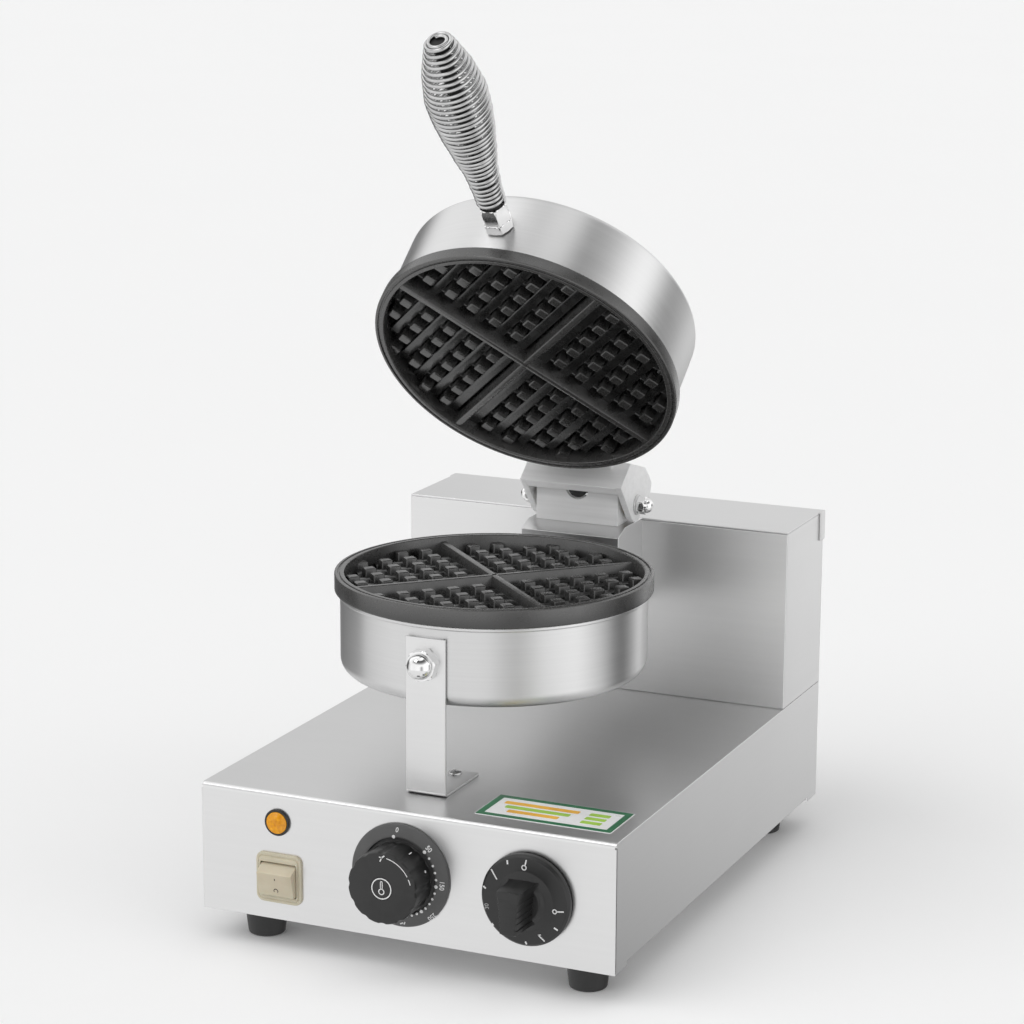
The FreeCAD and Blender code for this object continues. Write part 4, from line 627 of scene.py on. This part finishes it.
# hinge
refined("hinge_clevis", "lid_clevis", width=0.5)
refined("hinge_neck", "hinge_neck_channel", width=0.2, look="hinge_casting")
refined("hinge_pedestal", "hinge_pedestal_box", width=0.4)
refined("drum_duct", "rear_drum_duct", width=0.3)
refined("neck_wire_grommet", "neck_grommet", width=0.15)
CLEVIS_SIDE, NUT_SEAT = 33, 34           # from the middle to the washer and to the nut
pin = centre("hinge_pin")
pin_washer = lathe(contour([(3.1, 0, 0.1), (6.2, 0, 0.2), (6.2, 1, 0.3), (3.1, 1, 0.2)]), 64, looped=True)
nuts, washers = [], []
for side in (-1, 1):
    outward = (90 * side, "Y")
    for shape in (hex_nut(5.6, 0, 5, 0.5), dome(4.4, 4.8, high("hinge_pin_nuts").x - NUT_SEAT)):
        nuts.append(moved(stack(shape), NUT_SEAT * side, 0, 0, outward))
    washers.append(moved(pin_washer, CLEVIS_SIDE * side, 0, 0, outward))
piece("hinge_acorn_nuts", nuts, "bright_chrome", "lid", at(0, pin.y, pin.z), ["hinge_pin_nuts"])
piece("hinge_pin_washers", washers, "screw_steel", "lid", at(0, pin.y, pin.z), ["hinge_washers"])

# handle
HANDLE_HEIGHT, HANDLE_TILT = 27, 87.3    # above the lid's face, and from the iron's axis in degrees
HANDLE = LID @ at(0, IRON_Y - OUTER, LID_FACE + HANDLE_HEIGHT, (HANDLE_TILT, "X"))
piece("handle_hex_nut", [stack(hex_nut(9, 0.5, 6.2, 0.7)), stack(hex_nut(8.6, 6.0, 17.5, 0.8))],
      "bright_chrome", "lid", HANDLE, ["handle_nut"], upright=True)
SWELL = [(0, 8.4), (0.2, 10.1), (0.4, 14.4), (0.63, 17.9), (0.79, 15.9), (0.93, 11.2), (1, 8)]
WIRE = 1.1                               # the wire's radius
TURNS, PER_TURN = 36, 44                 # turns, and points in a turn
COIL_FROM, COIL_TO = 17.5, 134
TIP_POINTS, TIP_PITCH = 61, 2.3          # of the flat spiral that closes the tip


def coil_radius(share):
    """The outer radius of the coil on a smooth line through (share of its length, radius) points."""
    index = max(i for i in range(len(SWELL) - 1) if SWELL[i][0] <= share)
    (x0, r0), (x1, r1) = SWELL[index], SWELL[index + 1]
    before = SWELL[index - 1] if index else (x0 - (x1 - x0), r0)
    after = SWELL[index + 2] if index + 2 < len(SWELL) else (x1 + (x1 - x0), 2 * r1 - r0)
    span = x1 - x0
    tangent0 = (r1 - before[1]) / (x1 - before[0]) * span
    tangent1 = (after[1] - r0) / (after[0] - x0) * span
    t = (share - x0) / span
    return ((2 * t ** 3 - 3 * t ** 2 + 1) * r0 + (t ** 3 - 2 * t ** 2 + t) * tangent0
            + (3 * t ** 2 - 2 * t ** 3) * r1 + (t ** 3 - t ** 2) * tangent1)


wobble = [(random.uniform(-0.4, 0.4), random.uniform(0, 0.6)) for _ in range(TURNS + 2)]
coil = []
for step in range(TURNS * PER_TURN + 1):
    turn, part = divmod(step / PER_TURN, 1)
    turn = int(turn)
    ease = part * part * (3 - 2 * part)
    lift = wobble[turn][0] * (1 - ease) + wobble[turn + 1][0] * ease
    draw = wobble[turn][1] * (1 - ease) + wobble[turn + 1][1] * ease
    share = step / (TURNS * PER_TURN)
    settled = min(1, share * 12, (1 - share) * 12)
    radius = coil_radius(share) - WIRE - draw * settled
    angle = math.tau * step / PER_TURN
    coil.append((radius * math.cos(angle), radius * math.sin(angle),
                 COIL_FROM + WIRE + (COIL_TO - COIL_FROM - 2 * WIRE) * share + lift * settled))
angle, radius = math.tau * TURNS, coil[-1][0]
for step in range(1, TIP_POINTS + 1):
    inward = radius - TIP_PITCH * step / PER_TURN
    coil.append((inward * math.cos(angle + math.tau * step / PER_TURN),
                 inward * math.sin(angle + math.tau * step / PER_TURN), COIL_TO - WIRE))
piece("handle_wire_coil", [tube(coil, WIRE, 12)], LOOKS["coil_chrome"], "lid", HANDLE, ["handle_coil"],
      upright=True)

# indicator lamp
LAMP = facing("indicator_bezel", PANEL)
piece("lamp_bezel", [lathe(contour([
    (5.4, -17, 0.2), (5.4, 0, 0), (7.7, 0, 0.1), (7.7, 1.6, 0.7), (6.35, 1.6, 0.2), (6.3, 0.4, 0),
    (4.4, 0.4, 0), (4.4, -17, 0.2)]), 96, looped=True)], "black_trim", place=LAMP, nodes=["indicator_bezel"])
ripple = [(0.05, -4), (4.3, -4), (4.3, 0.4), (6.2, 0.45), (6.2, 1.8)]
ripple += [(6.2 - step * 0.155, 1.85 + 1.0 * math.sin(min(step / 26, 1) * math.pi / 2)
            + 0.09 * math.sin(step * 1.57)) for step in range(1, 39)] + [(0.05, 2.9)]
piece("lamp_lens", [lathe(ripple, 72)], "amber_lens", place=LAMP, nodes=["indicator_lens"])

# rocker switch
SWITCH = facing("switch_frame", PANEL)
DROP = -0.5                              # the window sits below the frame's middle
ROCKER_TILT = 102.5                      # the panel's 90 degrees and the key's 12.5
ROCKER_MIDDLE, KEY_TOP = 3.2, 8.6
# (half width, half height, corner radius, z, shift) from the back of the flange round to the window
shell = [(12.3, 11.5, 1.0, -6.5, 0), (12.3, 11.5, 1.0, 0, 0), (14.2, 14.5, 4.5, 0, 0),
         (14.2, 14.5, 4.5, 1.0, 0), (13.95, 14.25, 4.3, 1.45, 0), (13.5, 13.8, 4.0, 1.65, 0),
         (12.75, 12.9, 3.0, 1.6, 0), (12.5, 12.6, 2.8, 1.35, 0), (12.2, 12.2, 2.2, 1.4, 0),
         (12.0, 11.9, 2.0, 2.0, 0), (11.75, 11.4, 1.8, 2.2, 0), (11.4, 9.95, 1.2, 2.2, DROP),
         (11.2, 9.7, 1.0, 1.9, DROP), (11.2, 9.7, 0.8, -6.5, DROP)]
piece("switch_bezel", [skin([[(x, y, z) for x, y in rounded(wide, tall, radius, 5, shift)]
                             for wide, tall, radius, z, shift in shell], looped=True)],
      "cream_plastic", place=SWITCH, nodes=["switch_frame"])
ROCKER = at(centre("switch_frame").x, PANEL + 2.4, centre("switch_frame").z + DROP, (ROCKER_TILT, "X"))
outline = contour([(-9.5, 0, 0.4), (-4.75, -2.4, 2), (4.75, -2.4, 2), (9.5, 0, 0.4), (9.5, 1, 0.5),
                   (7.2, 8.9, 0.8), (0, 8.55, 14), (-7.2, 8.9, 0.8), (-9.5, 1, 0.5)], steps=5)


def drawn_in(value, middle, inset):
    """A coordinate moved towards the middle, less so near it."""
    return value - inset * (1 if value > middle else -1) * min(1, abs(value - middle) / 3)


key = [[(x, drawn_in(y, 0, inset), drawn_in(z, ROCKER_MIDDLE, inset)) for y, z in outline]
       for x, inset in ((-10.9, 0.55), (-10.75, 0.2), (-10.35, 0), (10.35, 0), (10.75, 0.2), (10.9, 0.55))]
pins = [moved(lathe([(1.2, 0), (1.2, 1)], 24), x, 0, 0, (90, "Y")) for x in (-11.9, 10.8)]
piece("rocker_key", [skin(key)] + pins, "cream_plastic", "rocker", ROCKER, ["switch_rocker"])
piece("rocker_marks", [ribbon([(0.3, 3.0), (0.3, 5.2)], 0.55, KEY_TOP, 0.16),
                       ribbon(arc(1.25, 0, 360, 0.3, -3.6), 0.45, KEY_TOP, 0.16)],
      "black_trim", "rocker", ROCKER)

# thermostat
DIAL = facing("thermostat_dial_plate", PANEL)
DIAL_TOP, SLOPE_FROM, DIAL_SLOPE = 3.5, 23, 0.277    # the dial falls outwards from a radius
piece("thermostat_dial", [lathe(contour([
    (3.6, 2.4, 0.1), (18.6, 2.4, 0.2), (18.6, 0, 0.1), (29.5, 0, 0.2), (29.5, 1.5, 0.8), (28.6, 1.95, 0.8),
    (23, 3.5, 2), (21.9, 3.5, 0.5), (21.7, 1.0, 0.3), (19.4, 1.0, 0.3), (19.2, 2.9, 0.2), (3.6, 2.9, 0.1)]),
    180, looped=True)],
    DIAL_FACE, place=DIAL, nodes=["thermostat_dial_plate"])
spots = [(14.0, 14.6), (16.4, 11.6), (18.5, 8.2), (20.1, 4.9), (21.1, 1.3), (21.6, -2.4), (21.2, -6.3),
         (20.4, -9.9), (19.1, -13.2), (17.1, -16.6), (14.9, -19.5), (12.1, -21.7), (9.0, -24.0), (5.6, -25.4)]
prints = []
for index, (x, y) in enumerate(spots):
    out = 22.6 / math.hypot(x, y)
    prints.append(dot(x * out, y * out, 0.72 if index % 5 else 1.0, DIAL_TOP))
for text, x, y in (("50", 17.9, 18.2), ("150", 25.6, -1.6), ("250", 19.3, -20.6)):
    prints.append(lettering(text, 3.6, x, y, DIAL_TOP, math.degrees(math.atan2(y, x)) - 90))
prints.append(lettering("0", 3.6, -1.2, 26.2, DIAL_TOP, -8))
prints.append(dot(-2.9, 22.4, 1.0, DIAL_TOP))
prints.append(ribbon([(0.2, -27.6), (2.2, -26.6)], 0.7, DIAL_TOP))
prints.append(ribbon([(2.6, -27.6), (3.4, -25.9)], 0.7, DIAL_TOP))


def on_dial(shape):
    """The print mark laid on the dial's sloping face."""
    return [(x, y, z - max(0, math.hypot(x, y) - SLOPE_FROM) * DIAL_SLOPE) for x, y, z in shape[0]], shape[1]


piece("dial_prints", [on_dial(shape) for shape in prints], PRINT, place=DIAL)

KNOB = facing("thermostat_knob", PANEL)
KNOB_RADIUS, KNOB_TOP, CAP_TOP = 20.6, 24.5, 24.42
FLUTE_RADIUS, FLUTE_REACH = 4.0, 24.0    # a flute's own radius, and its axis from the knob's


def fluted(inset):
    """The knob's outline with twelve shallow flutes, whose edges are blended."""
    def radius(angle):
        off = (angle + math.pi / 12) % (math.pi / 6) - math.pi / 12
        inside = FLUTE_RADIUS ** 2 - (FLUTE_REACH * math.sin(off)) ** 2
        body = KNOB_RADIUS
        if inside > 0:
            cut = FLUTE_REACH * math.cos(off) - math.sqrt(inside)
            near = abs(cut - body) < 4
            body = -math.log(math.exp(-5 * body) + math.exp(-5 * cut)) / 5 if near else min(body, cut)
        return body - inset
    return polar(radius, 288)


knob_levels = [(fluted(inset), z) for inset, z in (
    (1.2, 4.1), (0.5, 4.3), (0.25, 5.0), (0.1, 22.6), (0.25, 23.6), (0.7, 24.2), (1.5, KNOB_TOP))]
knob_levels += [(polar(lambda a: 6.6, 288), KNOB_TOP), (polar(lambda a: 6.45, 288), 24.35),
                (polar(lambda a: 6.45, 288), 24.0)]
piece("thermostat_knob_body", [stack(knob_levels)], "black_knob", "thermostat_dial", KNOB,
      ["thermostat_knob"])
piece("thermostat_knob_cap_disc", [lathe(contour([
    (0.05, 24.02, 0), (6.4, 24.02, 0), (6.4, CAP_TOP, 0.2), (0.05, CAP_TOP, 0)], closed=False), 96)],
    "black_knob", "thermostat_dial", KNOB, ["thermostat_knob_cap"])
TIP = (0.3, 17.7)                        # where the pointer's arms meet
knob_prints = [ribbon(arc(17.9, 80, 30), 0.42, KNOB_TOP), ribbon(arc(17.9, 25, 15), 0.5, KNOB_TOP),
               ribbon([TIP, (-0.7, 15.4)], 0.62, KNOB_TOP), ribbon([TIP, (2.0, 19.0)], 0.7, KNOB_TOP),
               ribbon([TIP, (-1.3, 17.9)], 0.55, KNOB_TOP), dot(0.2, 17.6, 0.55, KNOB_TOP),
               # a ring with a thermometer, on the cap
               ribbon(arc(5.7, 0, 360, 0, 0, 60), 0.62, CAP_TOP),
               ribbon(arc(1.55, 0, 360, 0, -1.7), 0.55, CAP_TOP),
               ribbon([(-0.55, 3.6), (-0.55, -0.3)], 0.4, CAP_TOP),
               ribbon([(0.55, 3.6), (0.55, -0.3)], 0.4, CAP_TOP),
               ribbon(arc(0.55, 0, 180, 0, 3.6, 8), 0.4, CAP_TOP)]
piece("knob_prints", knob_prints, PRINT, "thermostat_dial", KNOB)


def on_knob_side(shape, degrees, radius, z, *turns):
    """A mark on the knob's side at an angle."""
    angle = math.radians(degrees)
    return moved(shape, radius * math.cos(angle), radius * math.sin(angle), z, (degrees, "Z"), *turns)


piece("knob_side_marks", [on_knob_side(lathe([(0.75, 0), (0.75, 0.12)], 16), 22, 20.5, 9.5, (90, "Y")),
                          on_knob_side(block((-0.05, -0.28, -1.6), (0.12, 0.28, 1.6)), 58, 20.45, 11)],
      PRINT, "thermostat_dial", KNOB)

# timer
TIMER = facing("timer_shaft", PANEL)
disc = lathe(contour([
    (0.05, 3.4, 0), (20, 3.4, 0.4), (20, 0.8, 0.2), (25.7, 0.8, 0.3), (25.7, 4.2, 0.8), (24.3, 5.8, 1.0),
    (16.5, 5.75, 2), (12.6, 7.4, 3), (10.5, 9.5, 2), (0.05, 9.6, 0)], closed=False), 180)


GRIP_HALF, GRIP_LOW, GRIP_HIGH = 11.7, 4.9, 6.7      # half its length, and half its width at each end
RIB_PITCH, RIB_DEPTH, RIB_REACH = 3.6, 0.55, 9


def grip_outline(inset, spread=0.0):
    """A bar with arched ends, wider at its top, ribbed along its sides."""
    length = 2 * GRIP_HALF
    shorter = 1 - inset / 12.5
    right = []
    for step in range(61):
        y = -GRIP_HALF + length * step / 60
        half_width = GRIP_LOW + (GRIP_HIGH - GRIP_LOW) * (y + GRIP_HALF) / length + spread
        phase = (y + RIB_REACH) / RIB_PITCH % 1
        rib = RIB_DEPTH * (1 - phase) ** 0.7 if -RIB_REACH < y < RIB_REACH else 0
        right.append((half_width - rib - inset, y * shorter))
    top_arch = [(x, GRIP_HALF * shorter + 0.75 * math.cos(x / 6.7 * math.pi / 2))
                for x in (4.6, 2.4, 0, -2.4, -4.6)]
    low_arch = [(x, -GRIP_HALF * shorter - 0.7 * math.cos(x / 5 * math.pi / 2))
                for x in (-3.4, -1.8, 0, 1.8, 3.4)]
    left = [(-x, y) for x, y in reversed(right)]
    return right + top_arch + left + low_arch


grip = stack([(grip_outline(inset, spread), z) for inset, spread, z in (
    (0, 3.2, 5.4), (0, 2.2, 6.6), (0, 1.3, 8.4), (0, 0.8, 11), (0, 0.35, 18), (0, 0.05, 26.6),
    (0.35, 0, 27.5), (0.9, 0, 27.8))])
piece("timer_knob_body", [disc, grip], "black_knob", "timer_dial", TIMER, ["timer_knob"])
TIMER_FACE = 5.8
ticks = [ribbon(line, width, TIMER_FACE) for line, width in (
    ([(1.1, 23.4), (0.4, 20.3)], 0.75), (arc(1.25, 80, 440, -0.2, 18.9), 0.6),
    ([(-10, 21.7), (-9.8, 19.4)], 0.9), ([(-19.3, 15.2), (-16, 9.9)], 0.75),
    ([(-23.9, 5), (-22.5, 3.8)], 0.9), ([(-18.9, -15.4), (-17.9, -16.5)], 1.0),
    ([(0.8, -22.6), (1.6, -24.1)], 0.9), ([(8.2, -17.7), (12.1, -20.7)], 0.75),
    ([(8.2, -17.7), (9.9, -17.4)], 0.6), ([(17.4, -12.2), (19.6, -13.3)], 0.9),
    ([(18.9, -3.0), (23.0, -2.4)], 0.75), (arc(1.1, 0, 360, 17.7, -3.1), 0.6))]
piece("timer_prints", ticks, PRINT, "timer_dial", TIMER)
piece("timer_numeral", [lettering("30", 3.4, -21.8, -6.2, TIMER_FACE, 96)], GREY_PRINT, "timer_dial", TIMER)

# gland and label
refined("cord_gland", "rear_cord_gland", width=0.3)
label_low, label_high = low("rating_plate"), high("rating_plate")
span = (label_high - label_low) / 2
INK_FROM, INK_HEIGHT = 0.26, 0.09
sheet = [(rounded(span.x, span.y, 1.2), 0), (rounded(span.x, span.y, 1.2), 0.2),
         (rounded(span.x - 0.1, span.y - 0.1, 1.1), 0.28)]
PLATE = at(centre("rating_plate").x, centre("rating_plate").y, label_low.z)
piece("blank_rating_label", [stack(sheet)], "label_film", place=PLATE, nodes=["rating_plate"])


def framed(half_x, half_y, border, z, height):
    """A raised rectangular border."""
    rings = [[(x, y, level) for x, y in rounded(half_x - inset, half_y - inset, 0.8)]
             for inset, level in ((0, z), (0, z + height), (border, z + height), (border, z))]
    return skin(rings, looped=True)


def ink_bar(x, y, width):
    """A raised bar that stands for a line of text."""
    outline = rounded(width / 2, 2.2, 0.9)
    return moved(stack([(outline, 0), (outline, INK_HEIGHT)]), x, y, INK_FROM)


piece("label_border", [framed(span.x - 0.4, span.y - 0.4, 3.8, INK_FROM, INK_HEIGHT)], GREEN, place=PLATE)
piece("label_amber_bars", [ink_bar(-10, 6.5, 44), ink_bar(-10, -6.5, 30)], AMBER, place=PLATE)
piece("label_lime_bars", [ink_bar(-10, 0, 38), ink_bar(24, 0, 12), ink_bar(24, 6.5, 12),
                          ink_bar(24, -6.5, 12)], LIME, place=PLATE)

# everything else keeps its CAD shape
for node, thing in NODES.items():
    thing.data.materials.clear()
    thing.data.materials.append(DARK_HANDLE_ROD if node == "handle_rod" else LOOKS[SLOTS[node]])

# ------------------------------------------------------------------ studio
world = bpy.data.worlds.new("studio")
bpy.context.scene.world = world
world.use_nodes = True
nodes, links = world.node_tree.nodes, world.node_tree.links
where = nodes.new("ShaderNodeTexCoord")
axes = nodes.new("ShaderNodeSeparateXYZ")
turn = nodes.new("ShaderNodeMath")
turn.operation = "ARCTAN2"
links.new(where.outputs["Generated"], axes.inputs["Vector"])
links.new(axes.outputs["Y"], turn.inputs[0])
links.new(axes.outputs["X"], turn.inputs[1])


def tone_ramp(source, start, end, stops):
    """Grey levels along a value that runs from start to end."""
    share = nodes.new("ShaderNodeMapRange")
    share.inputs["From Min"].default_value, share.inputs["From Max"].default_value = start, end
    links.new(source, share.inputs["Value"])
    tones = nodes.new("ShaderNodeValToRGB")
    links.new(share.outputs["Result"], tones.inputs["Fac"])
    elements = tones.color_ramp.elements
    while len(elements) < len(stops):
        elements.new(0.5)
    for element, (value, level) in zip(elements, stops):
        element.position = (value - start) / (end - start)
        element.color = (level, level, level, 1)
    return tones.outputs["Color"]


def blended(factor, first, second):
    return combine(nodes, links, "MIX", factor, first, second)


def crossed(first, second):
    return combine(nodes, links, "MULTIPLY", 1.0, first, second)


def by_azimuth(stops):
    """Grey levels by the azimuth in degrees; -90 is in front of the object."""
    return tone_ramp(turn.outputs[0], -math.pi, math.pi, [(math.radians(a), level) for a, level in stops])


def by_height(stops):
    """Grey levels by the sine of the elevation."""
    return tone_ramp(axes.outputs["Z"], -1, 1, stops)


BACKDROP = 1.9                           # what the camera sees past the floor
ROOM_LIGHT, MIRROR_LIGHT = 0.5, 1.3      # the world's strength for matt surfaces and for reflections


def plain(level):
    return level, level, level, 1


# light and dark screens stand around the object, over a floor, under a bright ceiling with a dark gap
# and a narrow strip lamp in it
screens = by_azimuth([
    (-180, 0.45), (-165, 0.7), (-145, 0.92), (-114, 0.86), (-94, 0.93), (-70, 0.92), (-50, 0.3), (-30, 1.02),
    (-2, 1.25), (14, 0.7), (34, 0.1), (46, 0.12), (62, 0.62), (74, 0.95), (95, 0.9), (114, 0.7), (133, 0.12),
    (160, 0.1)])
# the ground that metal mirrors is dark to the right-back: a painted shadow of the object on the floor
ground = by_azimuth([(-180, 0.72), (30, 0.72), (48, 0.06), (92, 0.06), (110, 0.72)])
light = blended(by_height([(-0.45, 1), (-0.26, 0)]), screens, ground)
ceiling = by_azimuth([(-180, 0.85), (-40, 0.9), (20, 1.25), (60, 0.9), (100, 0.62), (125, 0.62), (150, 1.0)])
light = blended(by_height([(0.12, 0), (0.34, 1)]), light, ceiling)
gap = crossed(by_height([(0.45, 0), (0.7, 0.8), (0.88, 1), (0.95, 0)]),
              by_azimuth([(-165, 0), (-145, 1), (12, 1), (60, 0)]))
light = blended(gap, light, plain(0.04))
strip = crossed(by_height([(0.7, 0), (0.76, 1), (0.88, 1), (0.92, 0)]),
                by_azimuth([(-155, 0), (-150, 1), (-112, 1), (-107, 0)]))
light = blended(strip, light, plain(2.4))
path = nodes.new("ShaderNodeLightPath")
light = blended(path.outputs["Is Camera Ray"], light, plain(BACKDROP))
links.new(light, nodes["Background"].inputs["Color"])
strength = nodes.new("ShaderNodeMapRange")
strength.inputs["To Min"].default_value, strength.inputs["To Max"].default_value = ROOM_LIGHT, MIRROR_LIGHT
links.new(path.outputs["Is Glossy Ray"], strength.inputs["Value"])
links.new(strength.outputs["Result"], nodes["Background"].inputs["Strength"])

FLOOR_HALF = 30                          # metres
floor_mesh = bpy.data.meshes.new("floor")
floor_mesh.from_pydata([(x * FLOOR_HALF, y * FLOOR_HALF, 0) for x, y in ((-1, -1), (1, -1), (1, 1), (-1, 1))],
                       [], [(0, 1, 2, 3)])
floor = bpy.data.objects.new("floor", floor_mesh)
bpy.context.scene.collection.objects.link(floor)
floor.data.materials.append(surface("pale_floor", grey(0.945), grey(0.95), (0.85, 0.95), grain=(2, 2, 2),
                                    fade=0.998, mottle=1, bump=0.02))
floor.visible_glossy = False


def sun(name, azimuth, elevation, strength, spread):
    """A broad far lamp that lights matt surfaces; metal mirrors only the screens."""
    lamp = bpy.data.lights.new(name, "SUN")
    lamp.energy, lamp.angle = strength, math.radians(spread)
    holder = bpy.data.objects.new(name, lamp)
    bpy.context.scene.collection.objects.link(holder)
    around, above = math.radians(azimuth), math.radians(elevation)
    source = Vector((math.cos(above) * math.cos(around), math.cos(above) * math.sin(around), math.sin(above)))
    holder.matrix_world = source.to_track_quat("Z", "Y").to_matrix().to_4x4()
    holder.visible_glossy = False


sun("key", -130, 42, 1.3, 60)
sun("fill", -20, 60, 1.1, 70)

# ------------------------------------------------------------------ camera
azimuth, pitch, roll = 0.4192, 0.2280, 0.0042
CAMERA_SPOT = (0.6779, -1.5455, 0.6161)
FOCAL_LENGTH, SENSOR = 104.64, 36
forward = Vector((-math.sin(azimuth) * math.cos(pitch), math.cos(azimuth) * math.cos(pitch),
                  -math.sin(pitch)))
right = Vector((math.cos(azimuth), math.sin(azimuth), 0))
up = right.cross(forward)
side = right * math.cos(roll) + up * math.sin(roll)
upright = up * math.cos(roll) - right * math.sin(roll)
lens = bpy.data.cameras.new("view")
lens.lens, lens.sensor_width, lens.sensor_fit = FOCAL_LENGTH, SENSOR, "HORIZONTAL"
lens.clip_start, lens.clip_end = 0.05, 100
camera = bpy.data.objects.new("view", lens)
bpy.context.scene.collection.objects.link(camera)
camera.matrix_world = Matrix.Translation(CAMERA_SPOT) @ Matrix(
    (side, upright, -forward)).transposed().to_4x4()
bpy.context.scene.camera = camera
bpy.context.scene.view_settings.view_transform = "Standard"
